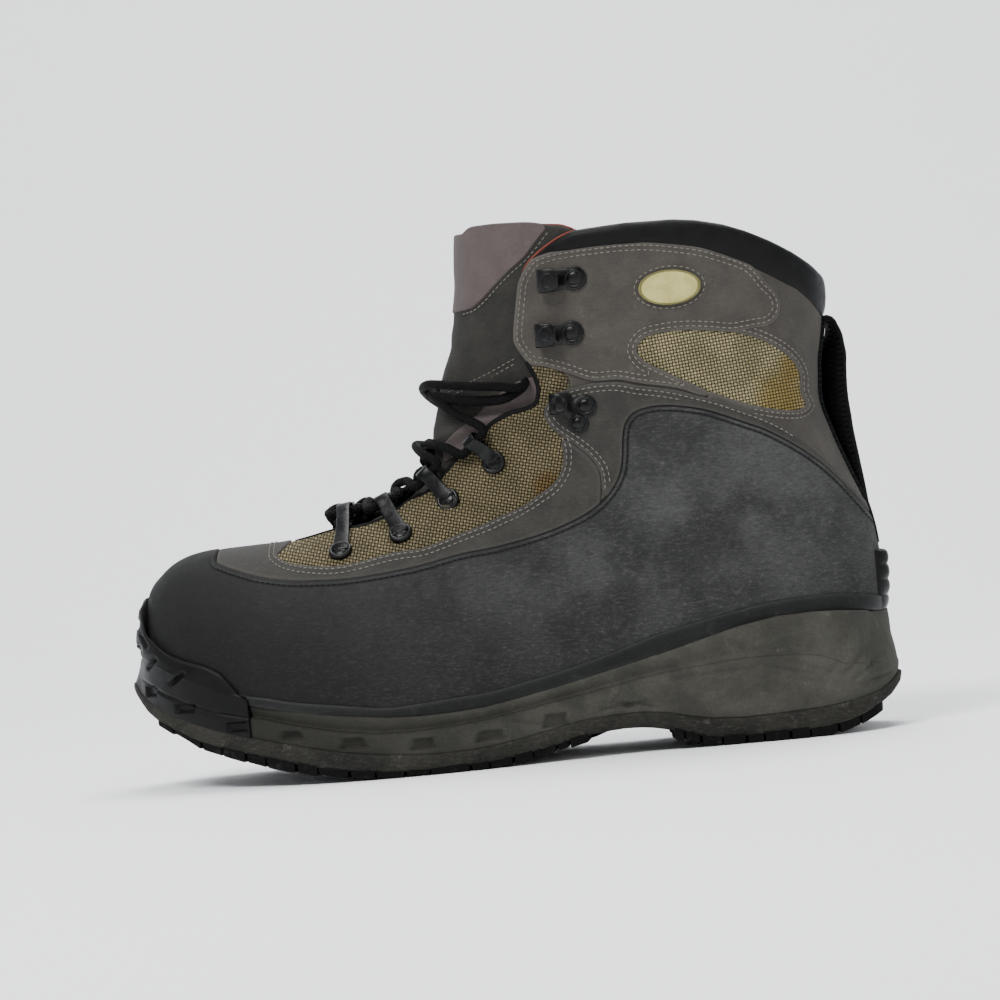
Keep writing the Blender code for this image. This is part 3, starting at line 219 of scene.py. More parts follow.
def hermite(keys, values, at):
    """Smooth curve through rows of values at the given keys."""
    slopes = np.gradient(values, keys, axis=0)
    place = np.clip(np.searchsorted(keys, at) - 1, 0, len(keys) - 2)
    span = (keys[place + 1] - keys[place])[:, None]
    t = ((at - keys[place])[:, None]) / span
    before, after = values[place], values[place + 1]
    leave, arrive = slopes[place] * span, slopes[place + 1] * span
    return ((2 * t ** 3 - 3 * t ** 2 + 1) * before + (t ** 3 - 2 * t ** 2 + t) * leave
            + (3 * t ** 2 - 2 * t ** 3) * after + (t ** 3 - t ** 2) * arrive)


def run(*lines, step=1.0):
    """Side lines in millimetres joined into one polyline in metres, each smooth within itself."""
    points = []
    for table in lines:
        rows = np.array(table, float) + (0, FLOOR_DROP)
        if len(rows) > 2:
            keys = lengths(rows)
            rows = hermite(keys, rows, np.linspace(0, keys[-1], max(int(keys[-1] / step), 3)))
        points.append(rows)
    return np.concatenate(points) * MM


def make_form():
    """Points of the upper's outer form on an even grid, before creases."""
    rows = np.array(FORM, float)
    back, front = rows[:, 0:2] + (0, FLOOR_DROP), rows[:, 2:4] + (0, FLOOR_DROP)
    steps = np.maximum(np.linalg.norm(np.diff(back, axis=0), axis=1),
                       np.linalg.norm(np.diff(front, axis=0), axis=1))
    keys = np.concatenate(([0], np.cumsum(steps)))
    fine = hermite(keys, np.column_stack((back, front, rows[:, 4:])),
                   np.linspace(0, keys[-1], GRID_ROWS))
    grid = np.zeros((GRID_ROWS, GRID_RIM, 3))
    angles = np.linspace(0, math.pi, 420)
    cosine, sine = np.cos(angles), np.sin(angles)
    low = cosine >= 0
    for number, row in enumerate(fine):
        half, widest, square_low, square_top, swing, ridge = row[4:]
        power = np.where(low, 2 / square_low, 2 / square_top)
        reach = np.abs(cosine) ** power
        share = np.where(low, widest * (1 - reach), widest + (1 - widest) * reach)
        across = np.abs(sine) ** power * half
        x = row[0] + share * (row[2] - row[0])
        z = row[1] + share * (row[3] - row[1])
        lean = swing + ridge * share ** 2
        length = lengths(np.column_stack((x, across, z)))
        even = np.linspace(0, length[-1], GRID_RIM // 2 + 1)
        side = np.column_stack([np.interp(even, length, value) for value in (x, across, z, lean)])
        grid[number, :len(side)] = np.column_stack((side[:, 0], side[:, 3] - side[:, 1], side[:, 2]))
        other = side[-2:0:-1]
        grid[number, len(side):] = np.column_stack((other[:, 0], other[:, 3] + other[:, 1], other[:, 2]))
    return grid * MM


def grid_normals(grid):
    """Outward directions of a closed grid's points."""
    around = np.roll(grid, -1, axis=1) - np.roll(grid, 1, axis=1)
    normals = np.cross(around, np.gradient(grid, axis=0))
    normals /= np.linalg.norm(normals, axis=2)[:, :, None] + 1e-12
    outward = grid - grid.mean(axis=1, keepdims=True)
    return -normals if np.sum(normals * outward) < 0 else normals


def field(outline, points):
    """Signed distance in metres to a closed side outline, positive inside."""
    x, z = points[..., 0].ravel(), points[..., -1].ravel()
    start = np.asarray(outline)
    end = np.roll(start, -1, axis=0)
    best = np.full(x.shape, 1e9)
    inside = np.zeros(x.shape, bool)
    for (ax, az), (bx, bz) in zip(start, end):
        dx, dz = bx - ax, bz - az
        size = dx * dx + dz * dz
        if size < 1e-14:
            continue
        t = np.clip(((x - ax) * dx + (z - az) * dz) / size, 0, 1)
        best = np.minimum(best, (x - ax - t * dx) ** 2 + (z - az - t * dz) ** 2)
        crosses = (az > z) != (bz > z)
        if az != bz:
            inside ^= crosses & (x < ax + (z - az) * dx / (bz - az))
    distance = np.sqrt(best)
    return np.where(inside, distance, -distance).reshape(points.shape[:-1])


# Soft creases: from x, z to x, z, half width, and depth (a ridge where it is below nought)
CREASES = (
    (-46, 82, -40, 50, 4.0, 0.7), (-37, 78, -30, 56, 3.5, 0.45), (-52, 66, -49, 46, 5.0, 0.5),
    (-24, 70, 8, 58, 5.0, 0.5), (-14, 84, 20, 74, 4.0, 0.4), (88, 104, 96, 74, 4.0, 0.35),
    (112, 96, 140, 80, 5.0, 0.55), (104, 84, 144, 66, 5.5, 0.5), (58, 112, 76, 76, 7.0, 0.5),
    (-28, 110, -8, 103, 2.4, 1.0), (-8, 103, 14, 101, 2.8, 0.8), (-40, 104, -20, 98, 2.4, 0.8),
    (-22, 104, -2, 96, 2.6, -0.7), (-4, 128, 12, 118, 3.0, 0.6), (6, 139, 18, 128, 2.6, 0.6),
    (-62, 97, -44, 92, 2.4, 0.6), (120, 190, 138, 150, 5.0, 0.6), (128, 176, 134, 128, 4.0, 0.5),
    (44, 172, 92, 176, 7.0, 0.35), (60, 196, 104, 186, 6.0, 0.3), (-118, 84, -84, 72, 9.0, -0.5),
)


def crease_depth(points, table):
    """Depth in metres of listed troughs under side points."""
    depth = np.zeros(points.shape[:-1])
    x, z = points[..., 0], points[..., -1]
    for x0, z0, x1, z1, half, deep in table:
        ax, az, bx, bz = x0 * MM, (z0 + FLOOR_DROP) * MM, x1 * MM, (z1 + FLOOR_DROP) * MM
        size = (bx - ax) ** 2 + (bz - az) ** 2
        t = ((x - ax) * (bx - ax) + (z - az) * (bz - az)) / size
        near = np.clip(t, 0, 1)
        away = np.hypot(x - ax - near * (bx - ax), z - az - near * (bz - az)) / (half * MM)
        fade = np.sin(math.pi * np.clip(0.12 + 0.76 * t, 0, 1)) ** 0.6
        depth += deep * MM * fade * np.exp(-away ** 2 * 1.4)
    return depth


FORM_GRID = make_form()
BASE = FORM_GRID - grid_normals(FORM_GRID) * crease_depth(FORM_GRID[..., (0, 2)], CREASES)[..., None]
NORMAL = grid_normals(BASE)
SIDE = BASE[..., (0, 2)]


def cell_corners(i, j):
    return [(i, j), (i, j + 1), (i + 1, j + 1), (i + 1, j)]


def corners_inside(inside):
    """How many corners of each grid cell are inside."""
    after = np.roll(inside, -1, 1)
    return inside[:-1] + 0 + inside[1:] + after[:-1] + after[1:]


def crossing(values, level, a, b):
    """Where values pass level between two grid points: a key, and the (row, rim) place."""
    (i, j), (k, l) = sorted((a, b))
    rims = values.shape[1]
    first, last = values[i, j % rims], values[k, l % rims]
    share = (level - first) / (last - first)
    return (i, j % rims, k, l % rims), (i + share * (k - i), j + share * (l - j))


def clip(values, level):
    """Cut the grid where values pass level: point weights as (row, rim) places, and faces."""
    rims = values.shape[1]
    inside = values > level
    places, index, faces = [], {}, []

    def numbered(key, place):
        if key not in index:
            index[key] = len(places)
            places.append(place)
        return index[key]

    for i, j in np.argwhere(corners_inside(inside) > 0):
        corners = cell_corners(i, j)
        face = []
        for here, after in zip(corners, corners[1:] + corners[:1]):
            held = inside[here[0], here[1] % rims]
            if held:
                face.append(numbered((here[0], here[1] % rims), here))
            if held != inside[after[0], after[1] % rims]:
                face.append(numbered(*crossing(values, level, here, after)))
        if len(face) > 2:
            faces.append(face)
    return np.array(places, float), faces


def sample(grid, places):
    """Values of a grid at fractional (row, rim) places."""
    rims = grid.shape[1]
    rows = np.clip(places[:, 0], 0, grid.shape[0] - 1.0001)
    low, step = rows.astype(int), np.floor(places[:, 1]).astype(int)
    part_row, part_rim = rows - low, places[:, 1] - step
    if grid.ndim == 3:
        part_row, part_rim = part_row[:, None], part_rim[:, None]
    near = grid[low, step % rims] * (1 - part_rim) + grid[low, (step + 1) % rims] * part_rim
    far = grid[low + 1, step % rims] * (1 - part_rim) + grid[low + 1, (step + 1) % rims] * part_rim
    return near * (1 - part_row) + far * part_row


def finish_mesh(name, points, faces, material, uv=None, edge=None):
    """A mesh object with closed seams, an optional UV map in millimetres and an edge distance."""
    mesh = bpy.data.meshes.new(name)
    mesh.from_pydata([tuple(p) for p in points], [], faces)
    if uv is not None:
        layer = mesh.uv_layers.new(name="UVMap")
        loops = np.array([loop.vertex_index for loop in mesh.loops])
        layer.data.foreach_set("uv", np.asarray(uv, np.float32)[loops].ravel())
    if edge is not None:
        store = mesh.attributes.new("edge", "FLOAT", "POINT")
        store.data.foreach_set("value", np.asarray(edge, np.float32))
    mesh.polygons.foreach_set("use_smooth", [True] * len(mesh.polygons))
    mesh.materials.append(material)
    mesh.update()
    return linked(bpy.data.objects.new(name, mesh))


def boundary_frames(points, faces, normals):
    """Boundary edges of a mesh, and for each rim point its outward direction along the surface."""
    count = {}
    for face in faces:
        for a, b in zip(face, face[1:] + face[:1]):
            key = (a, b) if a < b else (b, a)
            count[key] = None if key in count else (a, b, face)
    rim = [value for value in count.values() if value]
    out = {}
    for a, b, face in rim:
        along = points[b] - points[a]
        direction = np.cross(along, normals[a] + normals[b])
        middle = np.mean([points[v] for v in face], axis=0)
        if np.dot(direction, (points[a] + points[b]) / 2 - middle) < 0:
            direction = -direction
        size = np.linalg.norm(direction)
        if size < 1e-12:
            continue
        for v in (a, b):
            out[v] = out.get(v, 0) + direction / size
    for v in out:
        tidy = out[v] - np.dot(out[v], normals[v]) * normals[v]
        out[v] = tidy / (np.linalg.norm(tidy) + 1e-12)
    return [(a, b) for a, b, _ in rim], out


def normals_at(places):
    return unit(sample(NORMAL, places))


def panel(name, inside, lift, thick, material, round_edge=0.0009, under=0.0007, bulge=None):
    """A sheet lying on the form inside a field, with a rounded rim that goes down under its edge."""
    places, faces = clip(inside, round_edge)
    normals = normals_at(places)
    rise = np.full(len(places), lift + thick)
    if bulge is not None:
        rise = rise + sample(bulge, places)
    points = sample(BASE, places) + normals * rise[:, None]
    edge, uv = list(sample(inside, places)), list(points[:, (0, 2)] / MM)
    rim, out = boundary_frames(points, faces, normals)
    rows = [{v: v for v in out}]
    points, normals, faces = list(points), list(normals), list(faces)
    for step in range(1, RIM_STEPS + 2):
        angle = math.pi / 2 * min(step, RIM_STEPS) / RIM_STEPS
        down = thick + under if step > RIM_STEPS else round_edge * (1 - math.cos(angle))
        level = {}
        for v, direction in out.items():
            level[v] = len(points)
            points.append(points[v] + direction * round_edge * math.sin(angle) - normals[v] * down)
            normals.append(normals[v])
            edge.append(0.0)
            uv.append(uv[v])
        last = rows[-1]
        faces += [[last[b], last[a], level[a], level[b]] for a, b in rim if a in level and b in level]
        rows.append(level)
    return finish_mesh(name, points, faces, material, uv=uv, edge=edge)


def cleaned(obj):
    """Merge doubles and turn every face outwards."""
    work = bmesh.new()
    work.from_mesh(obj.data)
    bmesh.ops.remove_doubles(work, verts=work.verts, dist=0.000005)
    bmesh.ops.recalc_face_normals(work, faces=work.faces)
    work.to_mesh(obj.data)
    work.free()
    obj.data.polygons.foreach_set("use_smooth", [True] * len(obj.data.polygons))
    return obj


def placed(obj, slot_name, *nodes):
    """Put a finished piece on the boot, standing for its plain solids."""
    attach(obj, "root")
    if nodes:
        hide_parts(*nodes)
    return obj


def group(name, inputs, outputs):
    """An empty shader node group with named sockets."""
    tree = bpy.data.node_groups.new(name, "ShaderNodeTree")
    for label, kind, value in inputs:
        socket = tree.interface.new_socket(name=label, in_out="INPUT", socket_type=kind)
        if value is not None:
            socket.default_value = value
    for label, kind in outputs:
        tree.interface.new_socket(name=label, in_out="OUTPUT", socket_type=kind)
    return tree, tree.nodes.new("NodeGroupInput").outputs, tree.nodes.new("NodeGroupOutput").inputs


def fill(tree, made, values):
    """Links or constants put into a node's sockets."""
    for key, value in values.items():
        if isinstance(value, bpy.types.NodeSocket):
            tree.links.new(value, made.inputs[key])
        else:
            made.inputs[key].default_value = value
    return made


def node(tree, kind, values=None, **settings):
    """A shader node: settings are its properties, values its sockets as links or constants."""
    made = tree.nodes.new("ShaderNode" + kind)
    for key, value in settings.items():
        setattr(made, key, value)
    return fill(tree, made, values or {})


def maths(tree, operation, *values):
    return node(tree, "Math", dict(enumerate(values)), operation=operation).outputs[0]


def times(tree, *values):
    return maths(tree, "MULTIPLY", *values)


def less(tree, *values):
    return maths(tree, "SUBTRACT", *values)


def smooth_step(tree, value, low, high):
    made = node(tree, "MapRange", {"Value": value, "From Min": low, "From Max": high},
                interpolation_type="SMOOTHSTEP")
    return made.outputs["Result"]


def fading(tree, value, low, high):
    """One below low, and nought above high."""
    return less(tree, 1.0, smooth_step(tree, value, low, high))


def shade(color, share):
    return tuple(c * share for c in color)


def blend_colors(tree, share, *colors, kind="MIX"):
    made = node(tree, "Mix", data_type="RGBA", blend_type=kind)
    first, second = (c if isinstance(c, bpy.types.NodeSocket) else (*c, 1.0) for c in colors)
    return fill(tree, made, {0: share, 6: first, 7: second}).outputs[2]


def noise(tree, vector, scale, detail=3.0, rough=0.55):
    made = node(tree, "TexNoise", {"Vector": vector, "Scale": scale, "Detail": detail, "Roughness": rough})
    return made.outputs["Fac"]


def mottle_group():
    """Cloudy colour, fine grain and scuffs at real scale, from a place in metres."""
    sizes = (("Cloud", 0.02), ("Grain", 0.0006), ("Scuff", 0.006))
    tree, given, out = group(
        "Mottle and grain",
        [("Vector", "NodeSocketVector", None)] + [(name + " size", "NodeSocketFloat", size) for name,
                                                  size in sizes],
        [(name, "NodeSocketFloat") for name, size in sizes])
    for (name, size), detail, rough, steps in zip(sizes, (5.0, 3.0, 6.0), (0.6, 0.6, 0.7),
                                                  ((0.36, 0.66), None, (0.56, 0.72))):
        made = noise(tree, given["Vector"], maths(tree, "DIVIDE", 1.0, given[name + " size"]), detail, rough)
        tree.links.new(smooth_step(tree, made, *steps) if steps else made, out[name])
    return tree


def weave_group():
    """Basket weave over a flat map: thread height, and a share that tells the two thread directions."""
    tree, given, out = group("Woven mesh", (
        ("Vector", "NodeSocketVector", None), ("Pitch", "NodeSocketFloat", 1.4)),
        (("Height", "NodeSocketFloat"), ("Cross", "NodeSocketFloat")))
    scaled = node(tree, "VectorMath", {0: given["Vector"],
                                       "Scale": maths(tree, "DIVIDE", 1.0, given["Pitch"])},
                  operation="SCALE")
    parts = node(tree, "SeparateXYZ", {"Vector": scaled.outputs["Vector"]}).outputs
    cell = maths(tree, "ADD", maths(tree, "FLOOR", parts["X"]), maths(tree, "FLOOR", parts["Y"]))
    parity = maths(tree, "FLOORED_MODULO", cell, 2.0)

    def crown(value, width):
        centred = less(tree, times(tree, maths(tree, "FRACT", value), 2.0), 1.0)
        return less(tree, 1.0, maths(tree, "POWER", maths(tree, "ABSOLUTE", centred), width))

    def thread(across, along):
        return times(tree, crown(across, 2.5), maths(tree, "POWER", crown(along, 5.0), 0.7))

    pick = node(tree, "Mix", {0: parity, 2: thread(parts["Y"], parts["X"]),
                              3: thread(parts["X"], parts["Y"])},
                data_type="FLOAT")
    tree.links.new(pick.outputs[0], out["Height"])
    tree.links.new(parity, out["Cross"])
    return tree


MOTTLE = mottle_group()
WEAVE = weave_group()


def new_material(name):
    """A material, its node tree and its place in metres."""
    made = bpy.data.materials.new(name)
    made.use_nodes = True
    return made, made.node_tree, node(made.node_tree, "TexCoord").outputs["Object"]


def bump(tree, height, strength, distance, normal=None):
    values = {"Height": height, "Strength": strength, "Distance": distance}
    if normal is not None:
        values["Normal"] = normal
    return node(tree, "Bump", values).outputs["Normal"]


def use_group(tree, shared, values):
    made = tree.nodes.new("ShaderNodeGroup")
    made.node_tree = shared
    return fill(tree, made, values).outputs


def edge_distance(tree):
    return node(tree, "Attribute", attribute_name="edge").outputs["Fac"]


def flat_map(tree, degrees):
    """The piece's own map, turned."""
    flat = node(tree, "UVMap", uv_map="UVMap").outputs["UV"]
    return node(tree, "Mapping", {"Vector": flat,
                                  "Rotation": (0, 0, math.radians(degrees))}).outputs["Vector"]


def finished(made, values):
    """The material with values or links on its shader's sockets."""
    fill(made.node_tree, made.node_tree.nodes["Principled BSDF"], values)
    return made


WORN_EDGE = 0.0022


def solid_finish(name, dark, light, worn, roughness, cloud=0.02, grain=0.0006, depth=0.0002,
                 strength=0.35, scuff=0.3, edge=0.5, sheen=0.0, low_dark=0.0, specular=0.2, seam=0.0,
                 brushed=0.0, painted_toe_shade=0.0):
    """Leather, rubber or metal: cloudy between two colours, scuffed and worn lighter along its edges."""
    made, tree, place = new_material(name)
    mottle = use_group(tree, MOTTLE, {"Vector": place, "Cloud size": cloud, "Grain size": grain})
    parts = node(tree, "SeparateXYZ", {"Vector": place}).outputs
    color = blend_colors(tree, mottle["Cloud"], dark, light)

    def tint(share, amount, tone):
        return blend_colors(tree, times(tree, share, amount), color, tone)

    color = tint(mottle["Scuff"], scuff, worn)
    if edge > 0:
        rim = fading(tree, edge_distance(tree), 0.0, WORN_EDGE)
        color = tint(times(tree, rim, times(tree, mottle["Grain"], 1.6)), edge, worn)
    if low_dark > 0:
        color = tint(fading(tree, parts["Z"], 0.025, 0.095), low_dark, shade(dark, 0.35))
    height = mottle["Grain"]
    if brushed > 0:
        upright = node(tree, "Mapping", {"Vector": place, "Scale": (1.0, 1.0, 3.2)}).outputs["Vector"]
        nap = noise(tree, upright, 360.0, 6.0, 0.85)
        color = tint(smooth_step(tree, nap, 0.5, 0.68), brushed, worn)
        color = tint(fading(tree, nap, 0.33, 0.5), brushed, shade(dark, 0.45))
        fleck = smooth_step(tree, noise(tree, place, 900.0, 2.0, 0.5), 0.70, 0.76)
        color = tint(fleck, brushed * 0.5, shade(worn, 1.7))
    # Painted shade: the colour darkens towards the toe to hold down the light that the upturned toe catches
    if painted_toe_shade > 0:
        color = tint(fading(tree, parts["X"], -0.13, 0.06), painted_toe_shade, shade(dark, 0.3))
    if seam > 0:
        near = edge_distance(tree)
        groove = fading(tree, maths(tree, "ABSOLUTE", less(tree, near, seam)), 0.0, 0.0009)
        # Painted shade: the groove is darkened in colour, and a near-black band along the panel's edge and
        # rim paints its shadow line
        color = tint(groove, 0.75, shade(dark, 0.3))
        color = tint(fading(tree, near, 0.0004, 0.0014), 0.9, shade(dark, 0.12))
        height = less(tree, times(tree, height, 0.25), groove)
        strength, depth = 0.8, 0.0005
    return finished(made, {
        "Base Color": blend_colors(tree, 0.3, color, mottle["Grain"], kind="OVERLAY"),
        "Roughness": maths(tree, "ADD", roughness - 0.09, times(tree, mottle["Cloud"], 0.18)),
        "Specular IOR Level": specular, "Sheen Weight": sheen, "Sheen Roughness": 0.6,
        "Normal": bump(tree, height, strength, depth)})


MESH_PITCH = 1.28


def mesh_finish(name, thread, cross, gap, stain, stain_spots, turn=14):
    """Open basket weave of pale threads over a dark backing, stained in places."""
    made, tree, place = new_material(name)
    weave = use_group(tree, WEAVE, {"Vector": flat_map(tree, turn), "Pitch": MESH_PITCH})
    mottle = use_group(tree, MOTTLE, {"Vector": place, "Cloud size": 0.012, "Grain size": 0.0004})
    color = blend_colors(tree, weave["Cross"], thread, cross)
    color = blend_colors(tree, times(tree, mottle["Cloud"], 0.3), color, gap)
    parts = node(tree, "SeparateXYZ", {"Vector": place}).outputs
    for x, z, reach in stain_spots:
        away = maths(tree, "POWER", less(tree, parts["X"], x * MM), 2.0)
        rise = maths(tree, "POWER", less(tree, parts["Z"], (z + FLOOR_DROP) * MM), 2.0)
        away = maths(tree, "SQRT", maths(tree, "ADD", away, rise))
        spot = fading(tree, away, reach * 0.3 * MM, reach * MM)
        color = blend_colors(tree, times(tree, spot, 0.7), color, stain)
    color = blend_colors(tree, smooth_step(tree, weave["Height"], 0.25, 0.85), gap, color)
    fine = bump(tree, mottle["Grain"], 0.5, 0.0003)
    return finished(made, {
        "Base Color": blend_colors(tree, 0.75, color, mottle["Grain"], kind="OVERLAY"), "Roughness": 0.85,
        "Specular IOR Level": 0.15, "Normal": bump(tree, weave["Height"], 1.0, 0.0009, fine)})


def plain_finish(name, color, roughness, grain=0.0005, strength=0.3, braid=0.0):
    """A single colour with fine grain, and braided strands over the map where given."""
    made, tree, place = new_material(name)
    mottle = use_group(tree, MOTTLE, {"Vector": place, "Cloud size": 0.008, "Grain size": grain})
    tone = blend_colors(tree, times(tree, mottle["Cloud"], 0.5), color, shade(color, 0.6))
    normal = bump(tree, mottle["Grain"], strength, 0.0002)
    if braid > 0:
        strands = use_group(tree, WEAVE, {"Vector": flat_map(tree, 45), "Pitch": braid})
        normal = bump(tree, strands["Height"], 0.9, 0.0006, normal)
        # Painted shade: the colour darkens in the low parts between the braid's strands
        tone = blend_colors(tree, smooth_step(tree, strands["Height"], 0.1, 0.7), shade(color, 0.25), tone)
    return finished(made, {"Base Color": tone, "Roughness": roughness, "Specular IOR Level": 0.1,
                           "Normal": normal})


# The coated leather's darkening towards the toe, in its seam's groove and along its edge is painted shade
COATED_LEATHER = solid_finish("rubber coated leather", (0.0190, 0.0192, 0.0188), (0.0440, 0.0445, 0.0435),
                              (0.085, 0.085, 0.082), 0.70, cloud=0.034, grain=0.0009, depth=0.0003, scuff=0.3,
                              edge=0.0, low_dark=0.6, seam=0.0025, brushed=0.5, painted_toe_shade=0.85, specular=0.12)
NUBUCK = solid_finish("taupe nubuck", (0.036, 0.0325, 0.0280), (0.051, 0.0465, 0.0400), (0.090, 0.083, 0.073),
                      0.9,
                      cloud=0.014, grain=0.0005, scuff=0.25, edge=0.5, sheen=0.03, brushed=0.2)
DARK_NUBUCK = solid_finish("dark ankle nubuck", (0.0195, 0.0188, 0.0165), (0.032, 0.0308, 0.0270),
                           (0.062, 0.058, 0.052), 0.88, cloud=0.014, grain=0.0005, scuff=0.25, edge=0.5,
                           sheen=0.03, brushed=0.3)
ANKLE_MESH = mesh_finish("ankle basket weave", (0.34, 0.30, 0.170), (0.25, 0.215, 0.110),
                         (0.022, 0.018, 0.0085), (0.21, 0.135, 0.022), ((119, 137, 15), (125, 150, 9)), -6)
INSTEP_MESH = mesh_finish("instep basket weave", (0.190, 0.158, 0.086), (0.125, 0.103, 0.053),
                          (0.0125, 0.0102, 0.0055), (0.11, 0.06, 0.014), ((20, 110, 9),))
COLLAR_CLOTH = solid_finish("satin collar cloth", (0.0014, 0.0014, 0.0015), (0.0034, 0.0035, 0.0037),
                            (0.014, 0.0145, 0.015), 0.55, cloud=0.01, grain=0.0005, scuff=0.35, edge=0.0,
                            specular=0.13)
LINING = plain_finish("dark lining", (0.006, 0.006, 0.0065), 0.9, 0.0008, 0.5)
MAUVE_LINING = plain_finish("tongue lining", (0.03, 0.025, 0.025), 0.9, 0.0008, 0.5)
ORANGE = plain_finish("orange edge", (0.16, 0.045, 0.033), 0.8)
SUEDE = solid_finish("tongue suede", (0.0130, 0.0125, 0.0105), (0.0215, 0.0207, 0.0178),
                     (0.045, 0.043, 0.039), 0.9,
                     cloud=0.01, grain=0.0005, scuff=0.25, edge=0.3, sheen=0.03, brushed=0.25)
MAUVE = solid_finish("mauve knit", (0.060, 0.0465, 0.0445), (0.074, 0.058, 0.056), (0.14, 0.115, 0.112), 0.85,
                     cloud=0.008, grain=0.0007, depth=0.0004, strength=0.8, scuff=0.15, edge=0.0, sheen=0.05)
BINDING = plain_finish("black binding", (0.004, 0.004, 0.0042), 0.75)
WEBBING = plain_finish("black webbing", (0.010, 0.010, 0.0105), 0.8, 0.0006, 0.6, braid=1.6)
# The midsole's darkening towards the toe is painted shade
MIDSOLE_FOAM = solid_finish("olive grey midsole", (0.031, 0.0305, 0.0255), (0.052, 0.0510, 0.0430),
                            (0.085, 0.083, 0.072), 0.85, cloud=0.02, grain=0.0008, scuff=0.3, edge=0.0,
                            brushed=0.12, painted_toe_shade=0.75, specular=0.12)
RAND_RUBBER = solid_finish("rand rubber", (0.0048, 0.005, 0.0050), (0.0095, 0.0098, 0.0098),
                           (0.03, 0.03, 0.03), 0.6,
                           scuff=0.4, edge=0.5, brushed=0.2, specular=0.15)
BUMPER_RUBBER = solid_finish("toe bumper rubber", (0.0011, 0.0011, 0.0012), (0.0027, 0.0027, 0.0028),
                             (0.012, 0.012, 0.012), 0.5, scuff=0.3, edge=0.0, specular=0.13)
BAND_RUBBER = solid_finish("outsole rubber", (0.0110, 0.0108, 0.0090), (0.024, 0.0235, 0.0200),
                           (0.07, 0.067, 0.06),
                           0.85, scuff=0.6, edge=0.0, brushed=0.35, specular=0.12)
LUG_RUBBER = solid_finish("lug rubber", (0.0018, 0.0018, 0.0017), (0.0045, 0.0044, 0.0042),
                          (0.03, 0.029, 0.026), 0.9,
                          scuff=0.5, edge=0.0, brushed=0.2, specular=0.1)
# Colour of the thin cord that paints the shadow in the midsole step's corner
STEP_SHADOW_PAINT = plain_finish("painted midsole step shadow", (0.009, 0.0088, 0.007), 0.9)
BADGE_RUBBER = solid_finish("cream badge", (0.36, 0.33, 0.115), (0.44, 0.41, 0.16), (0.5, 0.48, 0.26), 0.55,
                            cloud=0.006, scuff=0.2, edge=0.0)
BADGE_RIM = solid_finish("olive badge rim", (0.12, 0.11, 0.035), (0.17, 0.155, 0.055), (0.25, 0.23, 0.1), 0.6,
                         cloud=0.006, scuff=0.2, edge=0.0)
HOOK_METAL = solid_finish("black steel", (0.0018, 0.0018, 0.0020), (0.0034, 0.0034, 0.0037),
                          (0.010, 0.010, 0.010), 0.3,
                          cloud=0.006, scuff=0.1, edge=0.0, specular=0.2)
LACE_CORD = plain_finish("black lace", (0.0035, 0.0035, 0.0038), 0.75, braid=1.25)
THREAD = plain_finish("pale thread", (0.165, 0.150, 0.132), 0.8)
DARK_THREAD = plain_finish("dark thread", (0.006, 0.006, 0.0065), 0.8)
FOOTBED = plain_finish("footbed felt", (0.02, 0.02, 0.019), 0.95)


def outline_above(line_points, top=0.25):
    """Closed outline of all that lies over a side line."""
    return np.concatenate((line_points, ((line_points[-1][0], top), (line_points[0][0], top))))


def side_field(*parts):
    """Field of the side outline through some lines of points in metres."""
    return field(np.concatenate(parts), SIDE)


def height_over(table):
    """Height of each point of the form over a side line."""
    return SIDE[..., 1] - heights(table, SIDE[..., 0])


FEATHER_FIELD = field(outline_above(run(FEATHER)), SIDE)
THROAT_EDGE = run(THROAT_LOW, FLAP_EDGE)
UPPER_OUTLINE = np.concatenate((
    run(FEATHER), run(PAD_LOW)[::-1][:-8], THROAT_EDGE[::-1], np.array(((-0.088, 0.15), (-0.175, 0.15)))))
CAP_ROWS = np.ones((GRID_ROWS, GRID_RIM))
CAP_ROWS[:1] = -1.0
WHOLE = np.minimum(field(UPPER_OUTLINE, SIDE), FEATHER_FIELD + 0.002)
COATED_FIELD = side_field(run(FEATHER), run(PANEL_LINE)[::-1], ((-0.1196, 0.15), (-0.175, 0.15)))
OVER_LINE = field(outline_above(run(PANEL_LINE)), SIDE)
ANKLE_FIELD = side_field(run(ANKLE_FRONT), ((0.041, 0.06), (0.175, 0.03)), run(ANKLE_TOP)[::-1])
COLLAR_FIELD = side_field(run(FLAP_FRONT), run(FLAP_TOP), run(WINDOW_TOP), run(FLAP_LOW))
WINDOW_FIELD = side_field(run(WINDOW_TOP)[6:], run(WINDOW_LOW))


